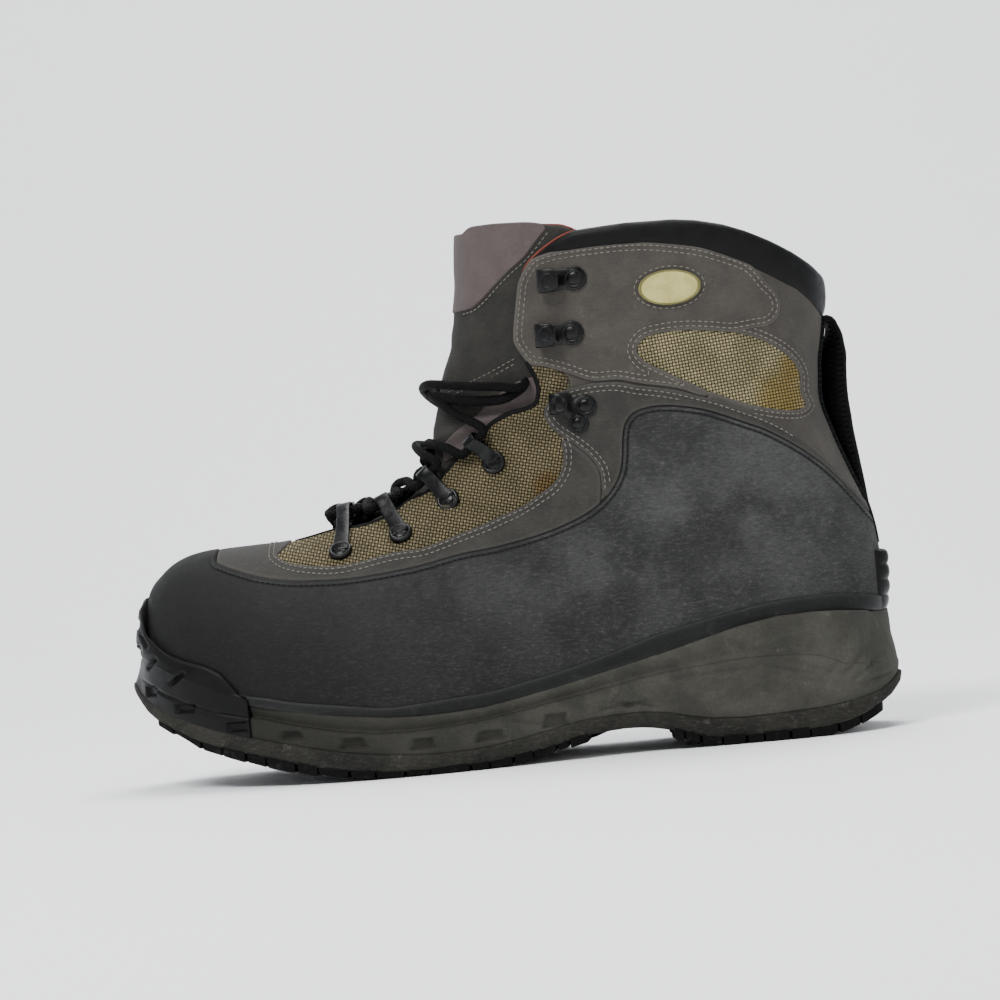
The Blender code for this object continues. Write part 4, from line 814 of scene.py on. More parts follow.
def make_base():
    """The cloth under the panels: the two meshes and the dark cloth round the back."""
    instep = side_field(
        run(MESH_LOW), run(((25.7, 129.8), (22.3, 134.8), (20.7, 138.2), (30, 152), (19, 157), (10, 150))),
        run(THROAT_LOW)[::-1][14:])
    puff = 0.0011 * np.clip(WINDOW_FIELD / 0.006, 0, 1) ** 0.7
    ankle = panel("ankle_mesh", np.minimum(WHOLE, WINDOW_FIELD + 0.003), 0.0, CLOTH, ANKLE_MESH, CLOTH,
                  bulge=puff)
    placed(ankle, "mesh_fabric", "upper")
    vamp = panel("instep_mesh", np.minimum(WHOLE, instep + 0.003), 0.0, CLOTH, INSTEP_MESH, CLOTH)
    placed(vamp, "mesh_fabric", "upper")
    rest = np.minimum(np.minimum(WHOLE, -np.maximum(WINDOW_FIELD, instep) - 0.002), CAP_ROWS)
    placed(panel("upper_cloth", rest, 0.0, CLOTH, NUBUCK, CLOTH), "nubuck", "upper")
    back = np.minimum(np.minimum(WHOLE, -WINDOW_FIELD),
                      np.minimum(SIDE[..., 0] - 0.088, height_over(ANKLE_TOP) + 0.003))
    placed(panel("back_panel", back, 0.0, 0.0007, NUBUCK, 0.0006), "nubuck", "upper")
    placed(lining_shell("upper_lining", np.minimum(WHOLE, CAP_ROWS), -WALL, LINING), "black_fabric", "upper")


def lining_shell(name, inside, offset, material):
    """The inner face of the wall, turned to the inside."""
    places, faces = clip(inside, 0.0)
    points = sample(BASE, places) + normals_at(places) * offset
    return finish_mesh(name, points, [face[::-1] for face in faces], material)


def make_panels():
    """Coated lower panel, and the nubuck of the vamp, the ankle and the two sides of the collar."""
    vamp = side_field(((-0.1196, 0.15), (-0.1196, 0.08), (-0.1, 0.07), (0.041, 0.07)),
                      run(ANKLE_FRONT)[::-1][:-12],
                      run(MESH_LOW)[::-1], ((-0.088, 0.0985), (-0.088, 0.15)))
    half = np.where(np.arange(GRID_RIM) < GRID_RIM // 2, 1.0, -1.0)[None, :]
    for name, inside, lift, thick, material, rim, slot_name, solid in (
            ("coated_panel", np.minimum(COATED_FIELD, CAP_ROWS), 0.0, COATED, COATED_LEATHER, 0.0011,
             "coated_leather", "rubber_shell"),
            ("vamp_panel", np.minimum(vamp, OVER_LINE + 0.0006), 0.0, PANEL, DARK_NUBUCK, 0.0009,
             "nubuck", "vamp_overlay"),
            ("ankle_panel", np.minimum(ANKLE_FIELD, OVER_LINE + 0.0006), 0.0002, PANEL, DARK_NUBUCK, 0.0009,
             "nubuck", "ankle_overlay"),
            ("collar_panel_lateral_cover", np.minimum(COLLAR_FIELD, half), 0.0, PANEL, NUBUCK, 0.0009,
             "nubuck", "collar_panel_lateral"),
            ("collar_panel_medial_cover", np.minimum(COLLAR_FIELD, -half), 0.0, PANEL, NUBUCK, 0.0009,
             "nubuck", "collar_panel_medial")):
        placed(panel(name, inside, lift, thick, material, rim), slot_name, solid)


def plan_loop(step=0.0012):
    """Sole outline as even points with outward directions, from the heel round the lateral side."""
    rows = np.array(OUTLINE, float)
    keys = lengths(rows[:, (0, 2)])
    x, middle, half = hermite(keys, rows, np.linspace(0, keys[-1], 900)).T
    loop = np.concatenate((np.column_stack((x, middle - half))[::-1],
                           np.column_stack((x, middle + half)))) * MM
    loop[:, 1] += PLAN_SHIFT * MM
    closed = np.concatenate((loop, loop[:1]))
    length = lengths(closed)
    even = np.linspace(0, length[-1], int(length[-1] / step), endpoint=False)
    loop = np.column_stack([np.interp(even, length, column) for column in closed.T])
    along = np.roll(loop, -3, axis=0) - np.roll(loop, 3, axis=0)
    out = unit(np.column_stack((along[:, 1], -along[:, 0])))
    return loop, -out if np.sum(out * (loop - loop.mean(axis=0))) < 0 else out


PLAN, PLAN_OUT = plan_loop()


def strip_faces(count, start):
    """Faces across a loop, joining points at the same share of both sides."""
    return [[start + j, start + j + 1, start + count - 2 - j,
             start + count - 1 - j] for j in range(count // 2 - 1)]


def wall_mesh(name, levels, material, top=False):
    """Closed wall round the sole: each level gives heights and insets along the plan."""
    count = len(PLAN)
    points = [np.column_stack((PLAN - PLAN_OUT * np.broadcast_to(inset, count)[:, None],
                               np.broadcast_to(height, count))) for height, inset in levels]
    faces = grid_faces(len(levels), count) + strip_faces(count, 0)
    if top:
        faces += strip_faces(count, (len(levels) - 1) * count)
    return cleaned(finish_mesh(name, np.concatenate(points), faces, material))


# Small windows of the midsole's lower step: x from and to, z from and to
WINDOWS = ((-98.2, -88, 16.7, 20.3), (-73.8, -62, 11, 15.8), (-45, -34, 8.2, 13.2),
           (-18.2, -5.5, 9.1, 13.6), (9.1, 20.5, 11.8, 17.7))


HEEL_WRINKLES = (
    (98, 29.5, 118, 24, 1.2, 0.8), (104, 25.5, 122, 20.5, 1.1, 0.7), (112, 30, 130, 23, 1.1, 0.7),
    (62, 26.5, 98, 28.5, 1.2, 0.6), (134, 22, 150, 36, 1.3, 1.1), (138, 20, 156, 31, 1.2, 1.0),
    (140, 18, 157, 21, 1.2, 0.8), (142, 41, 156, 36, 1.2, 0.8), (134, 44.5, 150, 40.5, 1.2, 0.7),
    (146, 30, 152, 16, 1.1, 0.9), (126, 41, 146, 33, 1.2, 0.6), (124, 20, 134, 30, 1.1, 0.8),
    (34, 17, 52, 18.5, 1.1, 0.9), (38, 20, 50, 15.5, 1.1, 0.9), (44, 18.5, 56, 16, 1.0, 0.7),
    (-6, 17, 8, 13, 1.1, 0.7))


def reach_inside(window, x, z, slant=0.0):
    """Distance to the nearest side of a small window, positive inside."""
    x0, x1, z0, z1 = window
    lean = slant * (x1 - x0) * np.clip((z - z0) / (z1 - z0), 0, 1)
    return np.minimum(np.minimum(x - x0 - lean, x1 - lean - x), np.minimum(z - z0, z1 - z))


def make_midsole():
    """Midsole wall with its sweeping step, small windows, heel wrinkles and a ledge under the rand, and a
    dark cord that paints the step's shadow.
    """
    x = PLAN[:, 0]
    low, step = heights(BAND_TOP, x), heights(STEP_LINE, x)
    top = np.where(x > 0.15, 0.0485, heights(MIDSOLE_TOP, np.minimum(x, 0.15)))
    top = np.maximum(top, low + 0.002)
    step = np.clip(step, low + 0.0006, top - 0.0008)
    hidden = np.where(x < -0.1112, 0.0055, 0.0)
    ledge = 0.25 + 0.75 * np.clip((0.137 - x) / 0.008, 0, 1)
    end = np.clip((x - 0.138) / 0.016, 0, 1)

    def wall(z):
        lean = np.interp(z / MM - FLOOR_DROP, (24, 27.4, 31.7, 36.1, 45), (0, 0.1, 0.9, 2.0, 2.4)) * MM * end
        side = np.column_stack((x, z))
        return lean + crease_depth(side, HEEL_WRINKLES)

    levels = []
    for share in np.linspace(0, 1, 34):
        z = low + share * (step - low)
        inset = 0.0008 + 0.0006 * (1 - share) ** 2 + hidden + wall(z)
        for window in WINDOWS:
            near = reach_inside(window, x / MM, z / MM - FLOOR_DROP, 0.16)
            inset = inset + 0.0022 * np.clip(near / 1.1 + 0.2, 0, 1)
        levels.append((z, inset))
    for share, inset in ((0.0, 0.0006), (0.03, 0.0011), (0.07, 0.0021), (0.12, 0.0025), (0.2, 0.0025),
                         (0.3, 0.0022),
                         (0.4, 0.0019), (0.5, 0.0016), (0.6, 0.0014), (0.7, 0.0012), (0.8, 0.0012),
                         (0.9, 0.0014),
                         (0.97, 0.0018), (1.0, 0.0028)):
        z = step + share * (top - step)
        levels.append((z, 0.0008 + (inset - 0.0008) * ledge + hidden + wall(z)))
    levels.append((top, 0.012 + hidden))
    placed(wall_mesh("midsole_wall", levels, MIDSOLE_FOAM), "midsole_foam", "midsole")
    # Painted shadow: a thin near-black cord lies in the corner under the step's ledge
    paths = []
    for side in (-1, 1):
        here = np.flatnonzero((x > -0.107) & (x < 0.134) & (side * (PLAN[:, 1] - PLAN[:, 1].mean()) > 0))
        here = here[np.argsort(x[here])]
        flat = PLAN[here] - PLAN_OUT[here] * (0.0017 + wall(step)[here])[:, None]
        paths.append(np.column_stack((flat, step[here] + 0.0002)))
    placed(cord_mesh("midsole_step_shadow_cord", paths, 0.0003, STEP_SHADOW_PAINT, 6), "midsole_foam", "midsole")


# Ends of the lugs along the forefoot and the heel, in millimetres
LUG_EDGES = (-150, -131, -112.5, -92, -70.5, -48, -21.5, -4, 14, 27.5)
HEEL_LUG_EDGES = (62, 73, 91.5, 109.5, 129.5, 150)


def lug_top(x):
    """Height where the lugs leave the band."""
    return heights(LUG_LINE, x) * 0.55 + heights(GROUND_LINE, x) * 0.45


def make_outsole():
    """The band round the sole and the lugs: pairs along both edges, and a row between them."""
    x = PLAN[:, 0]
    low, top = lug_top(x), heights(BAND_TOP, x)
    low = np.minimum(low, top - 0.0006)
    levels = [(low, 0.02), (low, 0.002), (low + 0.0004, 0.0009)]
    for share, inset in ((0.2, 0.0002), (0.5, 0.0), (0.8, 0.0001), (0.95, 0.0004), (1.0, 0.0012)):
        levels.append((low + 0.0004 + share * (top - low - 0.0004), inset))
    levels.append((top, 0.01))
    band = wall_mesh("outsole_band", levels, BAND_RUBBER, top=True)
    placed(band, "lug_rubber", "outsole")
    lugs = []

    def block(corners, uneven=0.0):
        """A lug from its plan corners, with a narrower tread face, worn back a little."""
        corners = np.array(corners)
        centre = np.mean(corners, axis=0)
        rings = []
        for size, share, sunk in ((1.0, 0.0, 0.001), (1.0, 0.0, 0.0), (0.97, 0.85, 0.0), (0.9, 1.0, 0.0)):
            upper = lug_top(corners[:, 0]) + sunk
            lower = heights(GROUND_LINE, corners[:, 0]) + uneven
            level = np.maximum(upper + share * (lower - upper), 0.0)
            rings.append(np.column_stack((centre + (corners - centre) * size, level)))
        lugs.append(ringed(rings))

    def edge_at(value, side, inset):
        rows = np.array(OUTLINE, float)
        middle = np.interp(value, rows[:, 0], rows[:, 1]) + PLAN_SHIFT
        half = np.interp(value, rows[:, 0], rows[:, 2]) - inset
        return np.array((value, middle + side * half)) * MM

    for edges in (LUG_EDGES, HEEL_LUG_EDGES):
        for number, (start, end) in enumerate(zip(edges, edges[1:])):
            start, end = start + 0.6, end - 0.6
            for side in (-1, 1):
                half_way = start + (end - start) * (0.42 + 0.05 * math.sin(number * 2.3 + side))
                for part, (a, b) in enumerate(((start, half_way - 0.35), (half_way + 0.35, end))):
                    xs = np.linspace(a, b, 5)
                    worn = 0.25 + 0.35 * math.sin(number * 1.9 + part * 2.4 + side)
                    outer = [edge_at(v, side, 0.5 + worn * abs(math.sin(v * 0.9))) for v in xs]
                    inner = [edge_at(v + (2.0 if edges is LUG_EDGES else -1.0), side, 15.5) for v in xs[::-1]]
                    block(outer + inner, max(worn, 0) * 0.9 * MM)
            (front, front_far), (back, back_far) = ([edge_at(v + 4, side, 19.5) for side in (-1, 1)]
                                                    for v in (start, end))
            tip = (7 * MM if edges is LUG_EDGES else -5 * MM, 0)
            if min(abs(front_far[1] - front[1]), abs(back_far[1] - back[1])) > 0.012:
                block([front, (front + front_far) / 2 + tip, front_far, back_far, (back + back_far) / 2 + tip,
                       back])
    lugs = joined("outsole_lugs", lugs, LUG_RUBBER)
    lugs.data.polygons.foreach_set("use_smooth", [False] * len(lugs.data.polygons))
    placed(lugs, "lug_rubber", "outsole")


# The toe bumper's upper edge and its upright outline at the front, and where it ends behind
TOE_JOINT = -0.1094
BROW = ((-175, 79.5), (-151.4, 79), (-150.6, 73.9), (-150.1, 68.9)) + BUMPER_EDGE[3:-2] + ((-109, 30),)
NOSE_LINE = ((40, -159.5), (44, -158), (49, -156.9), (52.4, -157.4), (56, -158.1), (63.1, -157.4),
             (73.5, -155.3),
             (76.7, -153.1), (78, -152))


def shell_tree():
    """The coated panel's face, for casting rays at it."""
    return BVHTree.FromPolygons([tuple(p) for p in (BASE + NORMAL * COATED).reshape(-1, 3)],
                                grid_faces(GRID_ROWS, GRID_RIM))


def reach_out(tree, centre, outward, levels, lowest):
    """Distance from an upright line to the coated panel's face, by level and direction."""
    found = np.zeros((len(levels), len(outward)))
    for j, (dx, dy) in enumerate(outward):
        seen = []
        for z in levels:
            hit = tree.ray_cast(Vector((centre[0], centre[1], z)), Vector((dx, dy, 0)))[0]
            if hit is not None and z >= lowest[j]:
                seen.append((z, math.hypot(hit.x - centre[0], hit.y - centre[1])))
        found[:, j] = np.interp(levels, *zip(*seen))
    return found


def make_bumper(tree):
    """Grid of the toe bumper by columns round the toe, from the sole's outline up to its brow."""
    ahead = np.flatnonzero(PLAN[:, 0] < TOE_JOINT)
    first = next(k for k, i in enumerate(ahead) if PLAN[i - 1, 0] >= TOE_JOINT)
    rim = np.roll(ahead, -first)
    foot = resampled(PLAN[rim] - PLAN_OUT[rim] * 0.0004, 300)
    if foot[0, 1] > foot[-1, 1]:
        foot = foot[::-1]
    centre = np.array((-0.1096, (foot[0, 1] + foot[-1, 1]) / 2))
    far = np.linalg.norm(foot - centre, axis=1)
    outward = (foot - centre) / far[:, None]
    levels = np.arange(0.016, 0.086, 0.0007)
    low = heights(BAND_TOP, foot[:, 0]) - 0.0003
    start = heights(FEATHER, foot[:, 0]) + 0.002
    shell = reach_out(tree, centre, outward, levels, start)
    side = centre[0] + shell * outward[:, 0]
    above = levels[:, None] - (np.interp(side / MM, *zip(*BROW)) + FLOOR_DROP) * MM
    top = np.array([levels[np.flatnonzero((above[:, j] >= 0) & (levels > start[j] - 0.002))[0]]
                    for j in range(len(foot))])
    spread = np.exp(-np.linspace(-2, 2, 15) ** 2)
    top = np.convolve(np.pad(top, 7, mode="edge"), spread / spread.sum(), mode="valid")
    grid = np.zeros((100, len(foot), 3))
    for row, share in enumerate(np.linspace(0, 1, 100)):
        z = low + share * (top - low)
        down = (top - z) / MM
        thick = np.interp(down, (0, 0.3, 1.2, 4, 10), (0.7, 1.4, 2.0, 2.5, 2.6)) * MM
        body = np.array([np.interp(z[j], levels, shell[:, j]) for j in range(len(foot))]) + thick
        nose = -np.interp(z / MM - FLOOR_DROP, *zip(*NOSE_LINE)) * MM + centre[0]
        body += np.clip(-outward[:, 0], 0, 1) ** 4 * np.maximum(nose - body, 0)
        join = np.array([np.interp(start[j], levels, shell[:, j]) for j in range(len(foot))]) + 0.0026
        climb = np.clip((z - low) / np.maximum(start - low, 0.001), 0, 1)
        radius = np.where(z < start, far + (join - far) * climb ** 0.7, body)
        grid[row, :, :2] = centre + outward * radius[:, None]
        grid[row, :, 2] = z
    return grid


def make_rand():
    """Strip of rubber over the joint of the upper and the midsole."""
    inside = np.minimum(side_field(run(FEATHER), run(RAND_TOP)[::-1]) + 0.0004, BASE[..., 0] + 0.1106)
    lift = COATED - 0.0003
    placed(panel("rand_strip", inside, lift, 0.0014, RAND_RUBBER, 0.0008, under=0.002), "black_rubber",
           "rand")


# Rim place of the front ridge, and how the side view moves by row and by rim
HALF = GRID_RIM // 2
ROW_SLOPE = np.gradient(SIDE, axis=0)
RIM_SLOPE = (np.roll(SIDE, -1, 1) - np.roll(SIDE, 1, 1)) / 2


def places_at(points, side):
    """(row, rim) places of the form under side points in metres: side -1 lateral, 1 medial."""
    rims = np.arange(1, HALF) if side < 0 else np.arange(HALF + 1, GRID_RIM)
    seen = SIDE[:, rims]
    places = []
    for point in points:
        gap = np.sum((seen - point) ** 2, axis=2)
        i, j = np.unravel_index(np.argmin(gap), gap.shape)
        places.append((float(i), float(rims[j])))
    places = np.array(places)
    for _ in range(2):
        miss = points - sample(SIDE, places)
        a, b = sample(ROW_SLOPE, places), sample(RIM_SLOPE, places)
        scale = a[:, 0] * b[:, 1] - a[:, 1] * b[:, 0]
        scale = np.where(np.abs(scale) < 1e-8, 1e-8, scale)
        step = np.column_stack((miss[:, 0] * b[:, 1] - miss[:, 1] * b[:, 0],
                                a[:, 0] * miss[:, 1] - a[:, 1] * miss[:, 0])) / scale[:, None]
        places = places + np.clip(step, -1.2, 1.2)
    return places


def lifted(places, lift):
    """Points over the form at places, and the normals there."""
    places = np.asarray(places, float)
    normals = normals_at(places)
    return sample(BASE, places) + normals * np.reshape(lift, (-1, 1)), normals


def on_form(points, side, lift):
    """Points over the form under side points in the tables' millimetres."""
    return lifted(places_at(np.atleast_2d(metres(points)), side), lift)


def frame_on(x, z, side, lift=0.0):
    """Matrix on the form: X along the boot, Y up, Z outwards."""
    (point,), (normal,) = on_form((x, z), side, lift)
    normal = Vector(normal)
    forward = Vector((1, 0, 0))
    forward = (forward - forward.dot(normal) * normal).normalized()
    up = forward.cross(normal) * (-side)
    matrix = Matrix((forward, up if up.z > 0 else -up, normal)).transposed().to_4x4()
    matrix.translation = Vector(point)
    return matrix


def ringed(rings):
    """Points and faces through rings of equal counts, closed at both ends."""
    rim, rows = len(rings[0]), len(rings)
    caps = [list(range(rim)), [(rows - 1) * rim + j for j in range(rim)]]
    return [tuple(p) for ring in rings for p in ring], grid_faces(rows, rim) + caps


def joined(name, shapes, material, uv=None):
    """One cleaned mesh object from several (points, faces) shapes."""
    points, faces = [], []
    for shape_points, shape_faces in shapes:
        start = len(points)
        points += list(shape_points)
        faces += [[start + v for v in face] for face in shape_faces]
    return cleaned(finish_mesh(name, points, faces, material, uv=uv))


def turned(profile, matrix, segments=28):
    """A profile of (radius, height) in millimetres turned round the matrix's Z axis."""
    return ringed([[matrix @ Vector((radius * MM * math.cos(a), radius * MM * math.sin(a), level * MM))
                    for a in np.linspace(0, 2 * math.pi, segments, endpoint=False)] for radius,
                    level in profile])


def plate(outline, side, low, high, bevel=0.25):
    """A plate that follows the form inside an outline in the tables' millimetres, with an eased edge."""
    outline = np.array(outline, float)
    centre = outline.mean(axis=0)
    reach = np.linalg.norm(outline - centre, axis=1).mean()
    return ringed([on_form(centre + (outline - centre) * (1 - inset / reach), side, lift * MM)[0]
                   for lift, inset in ((low, 0), (high - bevel, 0), (high - bevel * 0.3, bevel * 0.3),
                                       (high, bevel))])


def strap(path, across, widths, thick, steps=5):
    """A bent strap with rounded edges along 3-D points, across its side direction."""
    path = np.array(path, float)
    angles = np.linspace(-math.pi / 2, math.pi / 2, steps)
    rings = []
    for number, point in enumerate(path):
        ahead = path[min(number + 1, len(path) - 1)] - path[max(number - 1, 0)]
        side = np.array(across, float)
        side = unit(side - ahead * np.dot(side, ahead) / np.dot(ahead, ahead))
        rise = unit(np.cross(ahead, side))
        half, deep = widths[number] / 2 * MM, thick / 2 * MM
        rings.append([point + side * (way * (half - deep) + deep * math.cos(a)) + rise * deep * math.sin(a)
                      for way, turn in ((1, 0), (-1, math.pi)) for a in angles + turn])
    return ringed(rings)


def smooth_path(points, count):
    """Even points along a smooth curve through some 3-D points."""
    points = np.array(points, float)
    keys = lengths(points)
    return resampled(hermite(keys, points, np.linspace(0, keys[-1], count * 4)), count)


def cord_mesh(name, paths, radius, material, sides):
    """Round cords along smooth paths, mapped in millimetres round and along."""
    points, faces, uv = [], [], []
    for path in paths:
        size = np.linalg.norm(np.diff(path, axis=0), axis=1).sum()
        path = smooth_path(path, max(int(size / 0.0009), 8))
        length = lengths(path)
        along = unit(np.gradient(path, axis=0))
        first = np.cross(along[0], (0.3, 0.2, 1.0))
        start, rows = len(points), len(path)
        for number, (point, ahead) in enumerate(zip(path, along)):
            first = unit(first - ahead * np.dot(first, ahead))
            second = np.cross(ahead, first)
            end = min(number, rows - 1 - number)
            size = radius * (1 if end > 2 else (0.55, 0.82, 0.95)[end])
            for k in range(sides):
                a = 2 * math.pi * k / sides
                points.append(point + size * (math.cos(a) * first + math.sin(a) * second))
                uv.append((k * 2 * math.pi * radius / sides / MM, length[number] / MM))
        faces += grid_faces(rows, sides, start)
        faces += [[start + j for j in range(sides)][::-1],
                  [start + (rows - 1) * sides + j for j in range(sides)]]
    return finish_mesh(name, points, faces, material, uv=uv)


def contours(values, level):
    """Chains of (row, rim) places where values pass level."""
    rims = values.shape[1]
    inside = values > level
    links, spots = {}, {}
    mixed = corners_inside(inside)
    for i, j in np.argwhere((mixed > 0) & (mixed < 4)):
        corners = cell_corners(i, j)
        found = []
        for here, after in zip(corners, corners[1:] + corners[:1]):
            if inside[here[0], here[1] % rims] != inside[after[0], after[1] % rims]:
                key, spots[key] = crossing(values, level, here, after)
                found.append(key)
        for a, b in zip(found[::2], found[1::2]):
            links.setdefault(a, []).append(b)
            links.setdefault(b, []).append(a)
    chains, seen = [], set()
    for start in [key for key in links if len(links[key]) == 1] + list(links):
        here, chain = start, []
        while here is not None and here not in seen:
            seen.add(here)
            chain.append(spots[here])
            here = next((key for key in links[here] if key not in seen), None)
        if chain:
            chains.append(chain)
    return chains


STITCH_NODES = (
    ("given", "NodeGroupInput"), ("curve", "GeometryNodeMeshToCurve"), ("even", "GeometryNodeResampleCurve"),
    ("points", "GeometryNodeInstanceOnPoints"), ("tangent", "GeometryNodeInputTangent"),
    ("skin", "GeometryNodeInputNamedAttribute"), ("lie", "FunctionNodeAlignRotationToVector"),
    ("roll", "FunctionNodeAlignRotationToVector"), ("dash", "GeometryNodeMeshUVSphere"),
    ("shape", "GeometryNodeTransform"), ("size", "ShaderNodeCombineXYZ"), ("half", "ShaderNodeMath"),
    ("smooth", "GeometryNodeSetShadeSmooth"), ("real", "GeometryNodeRealizeInstances"),
    ("paint", "GeometryNodeSetMaterial"), ("out", "NodeGroupOutput"))
STITCH_SETTINGS = (("even", "mode", "LENGTH"), ("skin", "data_type", "FLOAT_VECTOR"), ("lie", "axis", "X"),
                   ("roll", "axis", "Z"), ("roll", "pivot_axis", "X"), ("half", "operation", "MULTIPLY"))
STITCH_LINKS = (
    ("given", "Geometry", "curve", "Mesh"), ("curve", "Curve", "even", "Curve"),
    ("given", "Stitch length", "even", "Length"), ("even", "Curve", "points", "Points"),
    ("tangent", "Tangent", "lie", "Vector"), ("lie", "Rotation", "roll", "Rotation"),
    ("skin", "Attribute", "roll", "Vector"), ("roll", "Rotation", "points", "Rotation"),
    ("given", "Stitch length", "half", 0), ("half", 0, "size", "X"), ("given", "Thread radius", "size", "Y"),
    ("given", "Thread radius", "size", "Z"), ("size", 0, "shape", "Scale"),
    ("dash", "Mesh", "shape", "Geometry"),
    ("shape", "Geometry", "points", "Instance"), ("points", "Instances", "real", "Geometry"),
    ("real", "Geometry", "smooth", "Geometry"), ("smooth", "Geometry", "paint", "Geometry"),
    ("paint", "Geometry", "out", "Geometry"))
# Half a dash's length, as a share of the spacing
DASH_SHARE = 0.39


def stitch_tree(material):
    """Geometry nodes: dashes of thread, evenly spaced along each edge path, lying on the skin."""
    tree = bpy.data.node_groups.new("Stitch rows", "GeometryNodeTree")
    for label, way, kind in (("Geometry", "INPUT", "Geometry"), ("Stitch length", "INPUT", "Float"),
                             ("Thread radius", "INPUT", "Float"), ("Geometry", "OUTPUT", "Geometry")):
        tree.interface.new_socket(name=label, in_out=way, socket_type="NodeSocket" + kind)
    made = {key: tree.nodes.new(kind) for key, kind in STITCH_NODES}
    for key, setting, value in STITCH_SETTINGS:
        setattr(made[key], setting, value)
    for key, socket, value in (("skin", "Name", "skin"), ("dash", "Segments", 6), ("dash", "Rings", 5),
                               ("dash", "Radius", 1.0), ("half", 1, DASH_SHARE),
                               ("paint", "Material", material)):
        made[key].inputs[socket].default_value = value
    for source, output, target, socket in STITCH_LINKS:
        tree.links.new(made[source].outputs[output], made[target].inputs[socket])
    return tree


def evaluated(obj, tree, values):
    """Plain mesh object of what a node tree makes of obj."""
    step = obj.modifiers.new("stitching", "NODES")
    sockets = {item.name: item.identifier for item in tree.interface.items_tree if item.in_out == "INPUT"}
    step.node_group = tree
    for label, value in values.items():
        step[sockets[label]] = value
    bpy.context.view_layer.update()
    mesh = bpy.data.meshes.new_from_object(obj.evaluated_get(bpy.context.evaluated_depsgraph_get()))
    made = linked(bpy.data.objects.new(obj.name + "_rows", mesh))
    bpy.data.objects.remove(obj, do_unlink=True)
    return made


def stitch_rows(name, rows, tree, length, radius):
    """Thread dashes along rows, each (points, normals)."""
    points, normals, edges = [], [], []
    for row_points, row_normals in rows:
        start = len(points)
        points += [tuple(p) for p in row_points]
        normals += [tuple(n) for n in row_normals]
        edges += [(start + k, start + k + 1) for k in range(len(row_points) - 1)]
    mesh = bpy.data.meshes.new(name)
    mesh.from_pydata(points, edges, [])
    store = mesh.attributes.new("skin", "FLOAT_VECTOR", "POINT")
    store.data.foreach_set("vector", np.array(normals, np.float32).ravel())
    obj = linked(bpy.data.objects.new(name, mesh))
    return evaluated(obj, tree, {"Stitch length": length * MM, "Thread radius": radius * MM})


def seam_rows(inside, insets, lift, keep):
    """Rows on a panel at insets from its edge, where keep, a grid field, is over nought."""
    rows = []
    for inset in insets:
        for chain in contours(inside, inset * MM):
            chain = np.array(chain)
            if len(chain) < 4:
                continue
            hold = sample(keep, chain) > 0
            edges = np.flatnonzero(np.diff(np.concatenate(([0], hold.astype(int), [0]))))
            for first, last in zip(edges[::2], edges[1::2]):
                if last - first > 4:
                    rows.append(lifted(chain[first:last], lift))
    return rows


def line_row(points, side, lift, step=0.8):
    """One row along a side line in the tables' millimetres: points and normals."""
    return on_form(run(points, step=step) / MM - (0, FLOOR_DROP), side, lift)


def rows_crossing(table):
    """Fractional row where each rim line of the form climbs past a side line."""
    level = BASE[..., 2] - heights(table, BASE[..., 0])
    found = np.zeros(GRID_RIM)
    for j in range(GRID_RIM):
        column = level[GRID_ROWS // 2:, j]
        up = np.flatnonzero((column[:-1] < 0) & (column[1:] >= 0))
        if len(up):
            i = up[-1]
            found[j] = GRID_ROWS // 2 + i - column[i] / (column[i + 1] - column[i])
    return found


def make_collar_pad():
    """Padded roll round the collar, its ends tucked under the collar panels' corners."""
    low, high = rows_crossing(PAD_LOW), rows_crossing(PAD_TOP)
    ends = [j for j in range(-HALF + 1, HALF)
            if low[j % GRID_RIM] > 0 and lifted([(high[j % GRID_RIM], j)], 0)[0][0, 0] > 21.5 * MM]
    rings = []
    for number, j in enumerate(ends):
        bottom, top = low[j % GRID_RIM] - 2.0, high[j % GRID_RIM]
        end = min(number, len(ends) - 1 - number)
        full = math.sqrt(1 - (1 - min(end / 7, 1)) ** 2) * 0.97 + 0.03
        tall = np.ptp(lifted([(low[j % GRID_RIM], j), (top, j)], 0)[0][:, 2]) / MM
        full = min(full, 0.12 + 0.88 * min(tall / 6.6, 1) ** 0.8)
        wave = 0.25 * math.sin(j * 0.21) + 0.2 * math.sin(j * 0.47 + 1)
        ring = []
        for a in np.linspace(0, 2 * math.pi, 32, endpoint=False):
            up = math.copysign(abs(math.cos(a)) ** 0.62, math.cos(a))
            out = math.copysign(abs(math.sin(a)) ** 0.8, math.sin(a))
            row = (bottom + top) / 2 + up * (top - bottom) / 2 * (0.35 + 0.65 * full)
            middle = 2.2 - 4.25 + 0.35 * (up < 0) * up
            ring.append(lifted([(row, j)], (middle + out * (8.5 + wave) / 2 * full) * MM)[0][0])
        rings.append(ring)
    pad = joined("collar_roll", [ringed(rings)], COLLAR_CLOTH)
    placed(pad, "black_fabric", "collar_pad")


TONGUE_FOLDS = ((-24, 140, 16, 146, 2.6, 1.3), (-26, 134, 2, 140, 2.2, -1.2), (-20, 152, 14, 160, 2.2, -0.5),
                (-23, 147, 12, 153, 2.4, 1.0), (-18, 172, 10, 166, 3.5, 0.6), (-16, 182, 10, 188, 4, 0.5),
                (-24, 128, -8, 134, 2.2, 1.0), (0, 146, 16, 150, 2, 0.8))


